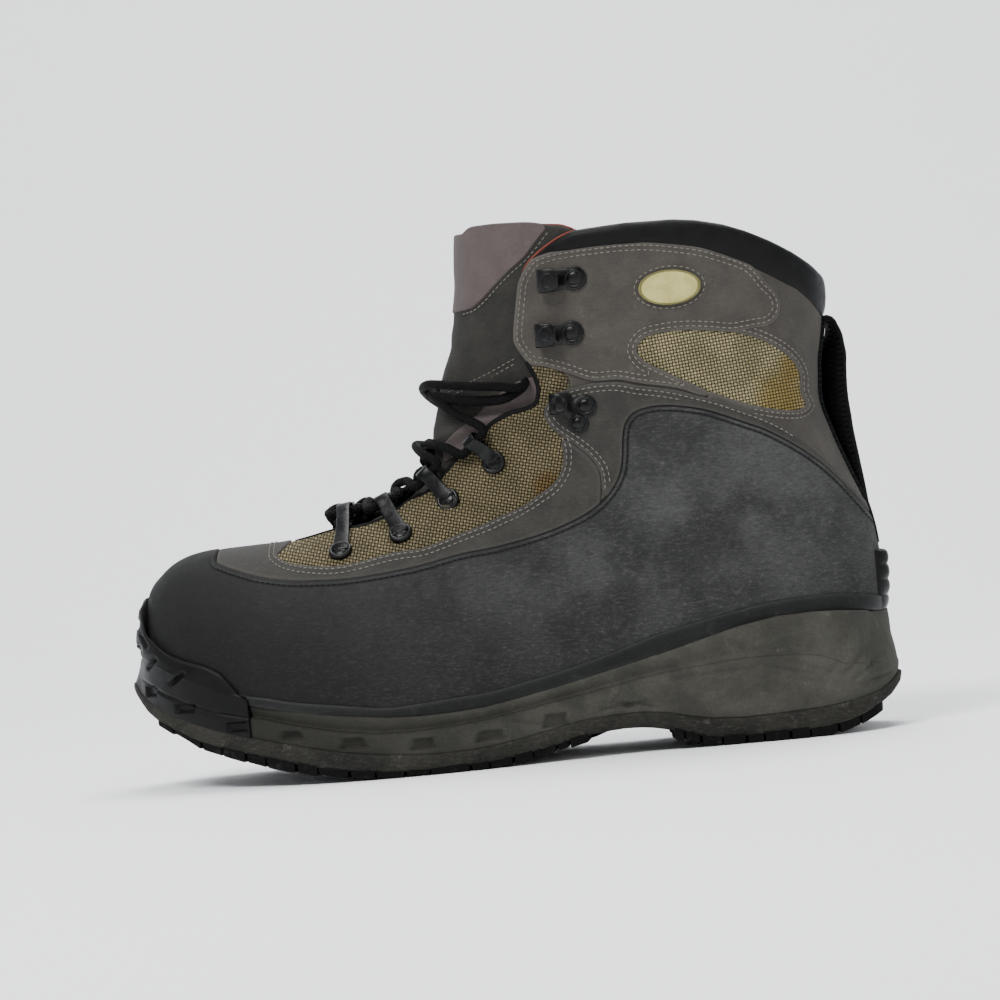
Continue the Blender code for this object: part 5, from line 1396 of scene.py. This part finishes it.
TONGUE_FREE = ((-40, 222), (-40, 158), (-90, 123), (-97, 123))
TONGUE_KNITS = (
    ("tongue_knit_top", 0.0002, 0.001,
     ((36, 224), (29.3, 216), (25.2, 212.2), (18.3, 204.6), (11.4, 199.8), (4.5, 194.3), (-1, 189.8),
      (-5.9, 186.7), (-10, 186.1), (-24, 186.2), (-24, 224))),
    ("tongue_knit_bellows", 0.0008, 0.0011,
     ((-24, 131.5), (-12, 139), (-1, 148), (10, 154), (22, 156), (24, 140), (0, 130), (-14, 128),
      (-24, 124))))


def make_tongue():
    """Tongue of dark suede with mauve knit at its top and in its bellows, folded over the instep."""
    inside = side_field(run(TONGUE_BACK), run(TONGUE_TOP), run(TONGUE_FREE))
    lift = -WALL - 0.0003 - 0.003
    soft = -crease_depth(SIDE, TONGUE_FOLDS)
    body = panel("tongue_suede", inside, lift, 0.003, SUEDE, 0.0014, under=0.0002, bulge=soft)
    placed(body, "black_fabric", "tongue")
    placed(lining_shell("tongue_lining", inside - 0.0004, lift, MAUVE_LINING), "black_fabric", "tongue")
    for name, inset, thick, outline in TONGUE_KNITS:
        patch = np.minimum(field(metres(outline), SIDE), inside - inset)
        placed(panel(name, patch, lift + 0.0026, thick, MAUVE, 0.0006, bulge=soft), "black_fabric", "tongue")


def make_edges():
    """Black binding along the throat, and the orange edge of the collar's lining."""
    binding = [line_row(THROAT_LOW, side, -0.0006, 1.2)[0] for side in (-1, 1)]
    placed(cord_mesh("throat_binding", binding, 0.0012, BINDING, 8), "black_fabric", "upper")
    orange = [line_row(line, side, lift, 1.0)[0] for side in (-1, 1) for line, lift in (
        (((40.5, 213.1), (32.1, 210.1), (27.2, 207.4), (23.1, 204.6), (18.8, 200.6), (17, 197)), -0.0012),
        (((25, 216.9), (29.3, 216.3), (33.4, 215.7), (39.0, 213.4)), -WALL - 0.0018))]
    placed(cord_mesh("lining_edge", orange, 0.0005, ORANGE, 8), "black_fabric", "upper")


# Slots and windows of the toe bumper
SLOTS = ((-154.5, 63.5, -151.5, 58.5, 0.9, 2.0), (-157.2, 58.5, -155.2, 53, 0.9, 2.0),
         (-152, 49.5, -147.8, 53.6, 0.9, 2.2), (-142, 42.8, -136, 47, 0.9, 2.2),
         (-155, 44.4, -146, 38.8, 0.8, 0.8),
         (-146, 38.8, -136.7, 34.6, 0.8, 0.8), (-136.7, 34.6, -126, 30.3, 0.8, 0.8),
         (-126, 30.3, -109, 26.7, 0.8, 0.8))
TOE_WINDOWS = ((-154, -149, 37.8, 42), (-141, -132.5, 30.6, 34), (-119.5, -111, 21.6, 25.4))


def make_toe_bumper():
    """Ribbed toe bumper: over the sole's outline below, lying on the coated panel above."""
    grid = make_bumper(shell_tree())
    normals = np.cross(np.gradient(grid, axis=1), np.gradient(grid, axis=0))
    normals /= np.linalg.norm(normals, axis=2)[:, :, None] + 1e-12
    if np.sum(normals * (grid - grid.mean(axis=(0, 1)))) < 0:
        normals = -normals
    x, height = grid[..., 0] / MM, grid[..., 2] / MM
    sunk = crease_depth(grid[..., (0, 2)], SLOTS)
    for window in TOE_WINDOWS:
        sunk += 0.0018 * np.clip(reach_inside(window, x, height - FLOOR_DROP) / 0.8 + 0.3, 0, 1)
    tip = np.clip((-153.5 - x) / 2.5, 0, 1) * np.clip((height - 51) / 2, 0, 1)
    sunk += tip * 0.0009 * np.clip(np.sin((height - 47) * 0.62) * 1.5, 0, 1)
    grid = grid - normals * sunk[..., None]
    over = [grid[-1] - normals[-1] * d * MM + np.array((0, 0, rise * MM)) for d, rise in
            ((0.35, 0.15), (0.9, 0.2), (1.6, 0.1), (3.0, -0.4), (6.5, -1.8))]
    full = np.concatenate((grid, np.array(over)))
    deep = np.concatenate((normals, normals[-1:].repeat(5, 0)))
    for column, place in ((0, 0), (-1, -1)):
        ends = [full[:, column:column + 1 or None] - deep[:, place][:,
                                                                    None] * d * MM + np.array((s * MM, 0, 0))
                for d, s in ((0.3, 0.35), (1.0, 0.5), (4.0, 0.5))]
        full = np.concatenate(ends[::-1] + [full] if column == 0 else [full] + ends, axis=1)
    faces = grid_faces(*full.shape[:2], closed=False)
    placed(cleaned(finish_mesh("toe_guard", full.reshape(-1, 3), faces, BUMPER_RUBBER)), "black_rubber",
           "toe_bumper")


def make_heel_guard():
    """Small ribbed guard round the back of the heel."""
    centre = np.array((0.118, 0.0))
    angles = np.linspace(-0.95, 0.95, 110)
    outward = np.column_stack((np.cos(angles), np.sin(angles)))
    bottom, top = 48.2, 73.4
    levels = np.linspace(bottom, top, 90) * MM
    shell = reach_out(shell_tree(), centre, outward, levels, np.full(len(angles), 0.0495))
    inside = (centre[0] + shell * outward[:, 0] - 0.1525) / MM
    edge = np.minimum(inside, np.minimum(levels - bottom * MM, top * MM - levels)[:, None] / MM)
    thick = np.interp(edge, (-1, 0, 0.3, 1.2), (-1.5, -0.8, 0.9, 1.5)) + 1.9 * np.clip(inside / 2.5, 0, 1)
    ribs = np.abs(np.sin((levels / MM - bottom) * math.pi / 6.3))[:, None] ** 0.6 * np.clip(inside / 2, 0, 1)
    radius = shell + (thick * (0.7 + 0.3 * ribs)) * MM
    points = np.concatenate((centre + outward[None] * radius[..., None],
                             np.broadcast_to(levels[:, None, None], radius.shape + (1,))), axis=2)
    kept = (edge > -1.5).ravel()
    faces = [face for face in grid_faces(len(levels), len(angles), closed=False) if kept[face].any()]
    guard = cleaned(finish_mesh("heel_guard", points.reshape(-1, 3), faces, BUMPER_RUBBER))
    placed(guard, "black_rubber", "heel_bumper")


BADGE_PLACE = (76.4, 186)


def badge_oval(half_x, half_z, count=48):
    """Outline round the badge's middle in the tables' millimetres."""
    angles = np.linspace(0, 2 * math.pi, count, endpoint=False)
    return np.column_stack((half_x * np.cos(angles), half_z * np.sin(angles))) + BADGE_PLACE


def make_badge():
    """Bare raised oval with a pale rim."""
    for name, material, profile in (
            ("badge_rim", BADGE_RIM, ((1.0, 1.0), (2.1, 1.0), (2.5, 0.975), (2.5, 0.93), (2.2, 0.91),
                                      (1.6, 0.90))),
            ("badge_face", BADGE_RUBBER, ((1.2, 0.915), (2.15, 0.915), (2.3, 0.88), (2.3, 0.5), (2.3, 0.1)))):
        rings = [on_form(badge_oval(12.6 * scale, 7.1 * scale), -1, lift * MM)[0] for lift, scale in profile]
        placed(joined(name, [ringed(rings)], material), "badge_rubber", "badge")


def rivet(x, z, side, seat, radius):
    """A domed rivet head in its rolled ring."""
    ring = ((radius + 0.9, 0.1), (radius + 0.9, 0.8), (radius + 0.6, 1.15), (radius + 0.25, 1.2),
            (radius, 0.95),
            (radius - 0.15, 0.95), (radius - 0.35, 1.3), (radius - 1.0, 1.7), (radius - 2.0, 1.9),
            (0.0, 1.95))
    return turned(ring, frame_on(x, z, side, seat * MM))


def even_share(values, count):
    """Values spread evenly over a count of points."""
    return np.interp(np.linspace(0, 1, count), np.linspace(0, 1, len(values)), values)


# Speed hooks: the plate's x and z span, and the place of the head
HOOKS = ((21.4, 40.5, 165.8, 176.8, 26.9, 171.9), (24.3, 43.5, 188, 198.6, 29.7, 193.2))
HOOK_FOLD = ((2.6, 0.3), (0.2, 0.5), (-2.4, 0.7), (-4.3, 1.5), (-5.0, 3.1), (-4.5, 4.7), (-2.9, 5.6),
             (-0.5, 5.9),
             (2.0, 5.8), (3.9, 5.3))
HOOK_WIDTHS = (8.8, 9.2, 9.4, 9.6, 9.8, 9.8, 9.8, 9.6, 8.8, 6.6)
HOOK_CAP = ((3.3, 0.0), (3.3, 0.45), (3.0, 0.65), (2.6, 0.65), (2.3, 0.4), (0.0, 0.3))
CLASP_FOLD = ((3.4, 0.4), (0.0, 0.6), (-2.8, 1.0), (-4.2, 2.4), (-4.2, 4.2), (-2.8, 5.5), (-0.4, 5.9),
              (2.4, 5.7))
CLASP_WIDTHS = (6.4, 7, 8, 8.6, 8.8, 8.6, 8.2, 6.4)
CLASP_CAP = ((3.6, -0.2), (3.8, 0.2), (3.6, 0.7), (3.1, 0.8), (2.8, 0.5), (0.0, 0.45))
# Rivets of the triple hook, and their radii in its plate
CLASP_RIVETS = ((29.4, 143), (38.5, 141.3), (35, 134.4))
CLASP_REACH = (4.7, 4.5, 4.2)
EAR, FOLD_HEIGHT, STRAP_THICK = 4.9, 5.9, 1.1


def folded_tab(matrix, fold, widths, middle, cap_x, cap, count):
    """A tab that folds up and back over the lace, with a round cap pressed in its end."""
    points = smooth_path([matrix @ Vector((x * MM, middle * MM, z * MM)) for x, z in fold], count)
    tab = strap(points, matrix.to_3x3() @ Vector((0, 1, 0)), even_share(widths, count), STRAP_THICK)
    end = matrix.copy()
    end.translation = matrix @ Vector((cap_x * MM, 0, FOLD_HEIGHT * MM))
    return [tab, turned(cap, end)]


def make_hooks(side, label):
    """Speed hooks and the triple hook: a riveted plate whose free end folds up and back over the lace."""
    seat = PANEL / MM
    for number, (x0, x1, z0, z1, head_x, head_z) in enumerate(HOOKS):
        middle = (z0 + z1) / 2
        rivet_x = x1 - EAR
        outline = [(rivet_x + EAR * math.cos(a), middle + EAR * math.sin(a))
                   for a in np.linspace(-2.2, 2.2, 22)]
        outline += [(rivet_x - 5.2, middle + 4.3), (x0 + 2.4, middle + 4.5), (x0 + 2.4, middle - 4.5),
                    (rivet_x - 5.2, middle - 4.3)]
        matrix = frame_on(head_x, head_z, side, seat * MM)
        shapes = [plate(outline, side, seat - 0.4, seat + 1.1), rivet(rivet_x, middle, side, seat + 0.5, 3.1)]
        shapes += folded_tab(matrix, HOOK_FOLD, HOOK_WIDTHS, middle - head_z, -0.3, HOOK_CAP, 34)
        hook = joined("speed_hook_%s_%d" % (label, number + 1), shapes, HOOK_METAL)
        placed(hook, "hook_steel", "hook_%s_%d" % (label, number + 1))
    centres = np.array(CLASP_RIVETS)
    hub = centres.mean(axis=0)
    outline = []
    for a in np.linspace(0, 2 * math.pi, 72, endpoint=False):
        ahead = np.array((math.cos(a), math.sin(a)))
        reach = 4.6
        for centre, size in zip(centres - hub, CLASP_REACH):
            forward = centre @ ahead
            spare = size ** 2 - centre @ centre + forward ** 2
            if spare > 0:
                reach = max(reach, forward + math.sqrt(spare))
        outline.append(hub + ahead * reach)
    shapes = [plate(outline, side, seat - 0.4, seat + 1.1)]
    shapes += [rivet(x, z, side, seat + 0.5, size) for (x, z), size in zip(CLASP_RIVETS[1:], (3.0, 2.7))]
    matrix = frame_on(*CLASP_RIVETS[0], side, seat * MM)
    shapes += folded_tab(matrix, CLASP_FOLD, CLASP_WIDTHS, 0, -0.4, CLASP_CAP, 30)
    placed(joined("triple_clasp_" + label, shapes, HOOK_METAL), "hook_steel", "triple_hook_" + label)


# Lace loops: x and z of the rivet, and of the eye
LOOPS = ((-67, 90.7, -63.8, 103.2), (-41.8, 95.7, -46.7, 105.9), (-21, 107.8, -27, 116.5),
         (-1, 121.5, -7.1, 129.9))
EYE_RISE = 0.004
EYES = {-1: [], 1: []}


LOOP_RING = ((4.9, -0.3), (4.9, 1.4), (4.6, 1.9), (4.1, 2.1), (3.5, 2.0), (3.2, 1.2), (3.0, 1.0), (2.7, 1.3),
             (1.8, 1.6), (0.0, 1.65))


def make_lace_loops(side, label):
    """Riveted metal straps that fold round at the throat to make the lace's eyes."""
    for number, (base_x, base_z, eye_x, eye_z) in enumerate(LOOPS):
        base, eye = places_at(metres(((base_x, base_z), (eye_x, eye_z))), side)
        start = lifted([base], 0.0)[0][0]
        (centre,), (rise,) = lifted([eye], EYE_RISE)
        ahead = centre - start
        ahead = unit(ahead - rise * np.dot(ahead, rise))
        axis = np.cross(ahead, rise)
        EYES[side].append((centre, axis if axis[0] > 0 else -axis))

        def on_strap(share, lift):
            return lifted([base + share * (eye - base)], lift * MM)[0][0]

        path = [on_strap(*at) for at in ((0.0, 1.2), (0.18, 1.5), (0.36, 2.0), (0.54, 3.0), (0.72, 4.6))]
        path += [centre + 0.0032 * (math.cos(a) * ahead + math.sin(a) * rise)
                 for a in np.radians((80, 50, 20, -10, -40, -70, -100))]
        path.append(on_strap(0.62, 0.7))
        wide = np.interp(np.linspace(0, 1, 44), (0, 0.2, 0.45, 0.62, 0.8, 1), (7.4, 6.2, 5.6, 6.2, 6.8, 5.8))
        shapes = [strap(smooth_path(path, 44), axis, wide, 0.95),
                  turned(LOOP_RING, frame_on(base_x, base_z, side))]
        loop = joined("lace_loop_%s_%d" % (label, number + 1), shapes, HOOK_METAL)
        placed(loop, "hook_steel", "loop_%s_%d" % (label, number + 1))


LACE_RADIUS = 0.0019


def over_tongue(start, end, middle):
    """Points of a lace run between two places on the form, dipping to the middle lift."""
    return [lifted([start + share * (end - start)],
                   middle + (EYE_RISE - middle) * abs(2 * share - 1) ** 1.5)[0][0]
            for share in (0.14, 0.3, 0.5, 0.7, 0.86)]


# Where the lace slips under the collar, and the height of the doubled run over the instep
NOTCH = ((14.5, 152),)
BAR_HEIGHT = 0.1544
LACE_RIDGE = ((-72, 102), (-66, 103.5), (-57, 105.3), (-46, 109), (-39, 113), (-33.5, 118.5), (-30, 124),
              (-28.6, 129), (-27.6, 135))
# Strands of the bunch: start of the turn, sway, length of a turn, and rise and fall
STRANDS = ((0.0, 7.5, 0.0165, 1.6), (2.2, 8.5, 0.0142, 1.8), (4.1, 6.5, 0.0188, 1.4), (1.1, 4.5, 0.0121, 1.9))
KNOT = ((-70, -6, 103), (-71.5, -3, 106.6), (-68.5, 1, 108.8), (-64.5, -3, 108.3), (-63, -8, 105.5),
        (-66, -10, 102.5), (-69.5, -8, 102.8))


def make_laces():
    """The lace: crossed through the eyes, doubled over the instep, bunched along the vamp."""
    low = LACE_RADIUS - WALL + 0.0010
    high = low + 2 * LACE_RADIUS + 0.0006

    def place_of(point, side):
        return places_at(point[None, (0, 2)], side)[0]

    notches = {side: places_at(metres(NOTCH), side)[0] for side in (-1, 1)}
    runs = []
    for side, middle in ((-1, high), (1, low)):
        path, place = [], None
        for number in range(4):
            centre, axis = EYES[side][number]
            before, after = centre - axis * 0.006, centre + axis * 0.006
            if place is not None:
                path += over_tongue(place, place_of(before, side), middle)
            path += [before, centre, after]
            place = place_of(after, side)
            side = -side
        path += over_tongue(place, notches[side], middle + 0.0006)
        path += [lifted([notches[side]], low + 0.0008)[0][0], lifted([notches[side] + (3, 0)], -0.0012)[0][0]]
        runs.append(path)
    first, second = runs
    bottom = over_tongue(place_of(second[0], 1), place_of(first[0], -1), low)
    paths = [second[::-1] + bottom + first]
    upper_rows = np.arange(GRID_ROWS // 4, GRID_ROWS)
    ridge_row = float(np.interp(BAR_HEIGHT, BASE[upper_rows, HALF, 2], upper_rows))
    for drop, middle in ((0.0, low + 0.0006), (-1.6, low + 0.0012)):
        bar = []
        for share in np.linspace(0, 1, 13):
            row, rim = notches[-1] + share * (notches[1] - notches[-1])
            row += (ridge_row + drop - row) * math.sin(math.pi * share) ** 0.7
            bar.append(lifted([(row, rim)], middle if 0 < share < 1 else -0.0016)[0][0])
        paths.append(bar)
    placed(cord_mesh("lace_runs", paths, LACE_RADIUS, LACE_CORD, 14), "lace_cord", "lace")
    ridge = metres(LACE_RIDGE)
    ridge = smooth_path(np.column_stack((ridge[:, 0], np.full(len(ridge), 3.0 * MM), ridge[:, 1])), 120)
    length = lengths(ridge)
    ahead = np.gradient(ridge, axis=0)
    rise = unit(np.column_stack((-ahead[:, 2], np.zeros(len(ridge)), ahead[:, 0])))
    bunch = []
    for number, (phase, sway, pitch, deep) in enumerate(STRANDS):
        turn = length / pitch * 2 * math.pi + phase
        wander = np.sin(length / 0.023 * 2 * math.pi + phase * 1.7)
        y = (sway + 1.5 * wander) * np.cos(turn)
        lift = -0.7 + deep * np.sin(2 * turn + number) - 0.045 * np.abs(y) ** 1.6
        path = ridge + rise * lift[:, None] * MM
        path[:, 1] += y * MM
        bunch.append(path[3:-3])
    bunch.append((np.array(KNOT, float) + (0, 0, FLOOR_DROP)) * MM)
    bunch += [(ridge + rise * (-2.4 + 0.5 * math.sin(k)) * MM + np.array((0, y * MM, 0)))[8:-8]
              for k, y in enumerate((-6.5, -2.5, 2.5, 6.5))]
    placed(cord_mesh("lace_bunch", bunch, LACE_RADIUS * 0.98, LACE_CORD, 12), "lace_cord", "lace")


PULL_LINE = ((137.6, 165.6), (139.4, 168.2), (142.6, 168.4), (144.2, 164), (143.8, 156), (143.0, 146),
             (142.8, 136),
             (144, 124), (146.4, 112), (149, 100), (151.0, 90), (152.4, 82))


def make_pull_loop():
    """Webbing loop down the heel's back edge, and the webbing sewn flat beneath it."""
    flat = run(PULL_LINE, step=1.5)
    points = smooth_path(np.column_stack((flat[:, 0], np.zeros(len(flat)), flat[:, 1])), 80)
    last = len(points) - 1
    rings = []
    for number, point in enumerate(points):
        ahead = unit(points[min(number + 1, last)] - points[max(number - 1, 0)])
        turn = math.radians(np.interp(number / last, (0, 0.1, 0.22, 0.5, 0.75, 0.95), (0, 8, 33, 33, 14, 0)))
        wide = np.array((math.sin(turn), -math.cos(turn), 0.0))
        wide = unit(wide - ahead * wide.dot(ahead))
        rise = np.cross(ahead, wide)
        outer = 8.4 + 0.25 * math.sin(number * 2.4)
        rings.append([point + wide * half * MM - rise * deep * MM
                      for half, deep in ((-outer, 0.4), (-8.0, 0), (8.0, 0), (outer, 0.4),
                                         (outer, 1.5), (8.0, 1.9), (-8.0, 1.9), (-outer, 1.5))])
    points, faces = ringed(rings)
    uv = [((k % 8) * 3.0, (k // 8) * 1.2) for k in range(len(points))]
    placed(joined("heel_pull", [(points, faces)], WEBBING, uv=uv), "black_fabric", "pull_loop")
    inner = field(metres(((120, 169), (160, 169), (160, 74), (120, 74))), SIDE)
    strip = np.minimum(inner, np.where(SIDE[..., 0] > 0.1, 0.0085 - np.abs(BASE[..., 1]), -1.0))
    placed(panel("back_webbing", strip, COATED * 0.6, 0.0012, WEBBING, 0.0004), "black_fabric", "pull_loop")


def make_insole():
    """Footbed lying inside, cupped at the heel."""
    stations = np.linspace(-146, 148, 60)
    level = np.interp(stations, *zip(*FEATHER)) + 4.6
    sides = [on_form(np.column_stack((stations, level)), side, -WALL - 0.0006)[0] for side in (-1, 1)]
    rings = []
    for lateral, medial in zip(*sides):
        ring = [lateral + share * (medial - lateral) - (0, 0, 0.0022 * math.sin(math.pi * share) ** 0.5)
                for share in np.linspace(0, 1, 15)]
        rings.append(ring + [point - (0, 0, 0.0038) for point in ring[::-1]])
    placed(joined("footbed", [ringed(rings)], FOOTBED), "footbed_fabric", "insole")


TONGUE_SEAMS = (((28, 212.6), (18.3, 202.9), (11.4, 198.1), (4.5, 192.6), (-1, 188.1), (-5.9, 185.2),
                 (-10, 184.6)),
                ((9.5, 163), (-2.4, 158.4), (-19, 153.1)), ((9, 160.8), (-2.4, 156.4), (-19, 151.1)))


def make_stitches():
    """Thread rows on the panels, spaced and offset from the panels' own edges."""
    pale, dark = stitch_tree(THREAD), stitch_tree(DARK_THREAD)
    x, z = SIDE[..., 0], SIDE[..., 1]
    mesh_side = side_field(run(MESH_LOW), ((0.0257, 0.15), (-0.0939, 0.15)))
    rows = []
    for inside, insets, lift, keep in (
            (-mesh_side, (1.5, 3.4), 0.0001, (0.0046 + mesh_side, 0.131 - z, OVER_LINE - 0.0012)),
            (ANKLE_FIELD, (1.6, 3.5), 0.0003, (OVER_LINE - 0.0022, 0.139 - x)),
            (COLLAR_FIELD, (1.7, 3.6), 0.0001, (np.ones(x.shape),)),
            (-WINDOW_FIELD, (1.6, 3.4), 0.0008 - PANEL, (x - 0.104, -COLLAR_FIELD))):
        rows += seam_rows(inside, insets, PANEL + lift, np.minimum.reduce(keep))
    ring, normals = on_form(badge_oval(14.2, 8.5, 90), -1, PANEL + 0.0001)
    rows.append((np.concatenate((ring, ring[:1])), np.concatenate((normals, normals[:1]))))
    placed(stitch_rows("pale_stitches", rows, pale, 2.5, 0.27), "nubuck")
    keep = np.minimum(height_over(FEATHER) - 0.02, x + 0.119)
    rows = seam_rows(COATED_FIELD, (2.5,), COATED + 0.0001, keep)
    placed(stitch_rows("dark_stitches", rows, dark, 2.4, 0.25), "coated_leather")
    rows = [line_row(line, side, -WALL - 0.0001) for side in (-1, 1) for line in TONGUE_SEAMS]
    placed(stitch_rows("tongue_stitches", rows, pale, 2.4, 0.25), "black_fabric")


def make_drain():
    """Cluster of small drain slots low on the medial side, and the overlap seam ahead of it."""
    face = COATED / MM
    slots = [(24 + number * 5.2 + row * 2.4,
              57.5 - row * 3.6) for row in range(5) for number in range(6 - row)]
    shapes = [plate([(x - 1.5, z - 0.5), (x + 1.1, z - 0.8), (x + 1.5, z + 0.5), (x - 1.1, z + 0.8)], 1,
                    face - 0.5, face + 0.12, 0.1) for x, z in slots]
    placed(joined("drain_slots", shapes, BINDING), "black_rubber", "rubber_shell")
    fold = ((-3.5, 85), (-2.5, 74), (-1, 62), (0, 50), (0.5, 38), (0.5, 31))
    seam = [line_row(fold, 1, COATED - 0.0002, 1.0)[0]]
    placed(cord_mesh("overlap_seam", seam, 0.0006, COATED_LEATHER, 8), "coated_leather", "rubber_shell")


PIECES = (make_base, make_panels, make_collar_pad, make_tongue, make_edges, make_midsole, make_outsole,
          make_rand,
          make_toe_bumper, make_heel_guard, make_badge, make_pull_loop, make_insole, make_drain)


def make_stage():
    """Pale floor that runs up behind, and soft light from three lamps and the room."""
    profile = [(-3.0, 0.0), (0.8, 0.0)]
    profile += [(0.8 + 0.6 * math.sin(a), 0.6 - 0.6 * math.cos(a)) for a in np.linspace(0.1, math.pi / 2, 12)]
    profile.append((1.4, 3.0))
    points = [(x, y, z) for x in (-4.0, 4.0) for y, z in profile]
    paper, _, _ = new_material("pale paper")
    finished(paper, {"Base Color": (0.93, 0.94, 0.95, 1), "Roughness": 0.9})
    made = [finish_mesh("paper_sweep", points, grid_faces(2, len(profile), closed=False), paper)]
    for name, place, size, watts in (("key", (-0.8, -1.2, 1.7), 1.0, 52), ("fill", (1.3, -1.4, 0.8), 1.4, 9),
                                     ("top", (0.2, 0.4, 1.9), 1.2, 34)):
        lamp = bpy.data.lights.new(name, "AREA")
        lamp.shape, lamp.size, lamp.energy = "DISK", size, watts
        obj = linked(bpy.data.objects.new(name, lamp))
        obj.location = place
        obj.rotation_euler = (Vector((0, 0, 0.1)) - Vector(place)).to_track_quat("-Z", "Y").to_euler()
        made.append(obj)
    world = bpy.data.worlds.new("soft room")
    world.use_nodes = True
    fill(world.node_tree, world.node_tree.nodes["Background"],
         {"Color": (0.93, 0.95, 1.0, 1), "Strength": 0.55})
    bpy.context.scene.world = world


CAMERA_DISTANCE = 1.5
SUBJECT_WIDTH = 0.4136
ROLL = math.radians(5.2)
AIM = Vector((0.0, -0.02, 0.108))


def make_camera():
    """The photo's view of the lateral side, turned as the boot lies in the picture."""
    data = bpy.data.cameras.new("camera")
    data.sensor_width = 36
    data.lens = 36 * CAMERA_DISTANCE / SUBJECT_WIDTH
    data.clip_start = 0.01
    camera = linked(bpy.data.objects.new("camera", data))
    camera.location = AIM - Vector((0, CAMERA_DISTANCE, 0))
    turn = Vector((0, 1, 0)).to_track_quat("-Z", "Y").to_matrix()
    camera.rotation_euler = (turn @ Matrix.Rotation(-ROLL, 3, "Z")).to_euler()
    bpy.context.scene.camera = camera


for make in PIECES:
    make()
for side, label in ((-1, "lateral"), (1, "medial")):
    make_hooks(side, label)
    make_lace_loops(side, label)
make_laces()
make_stitches()
make_stage()
make_camera()
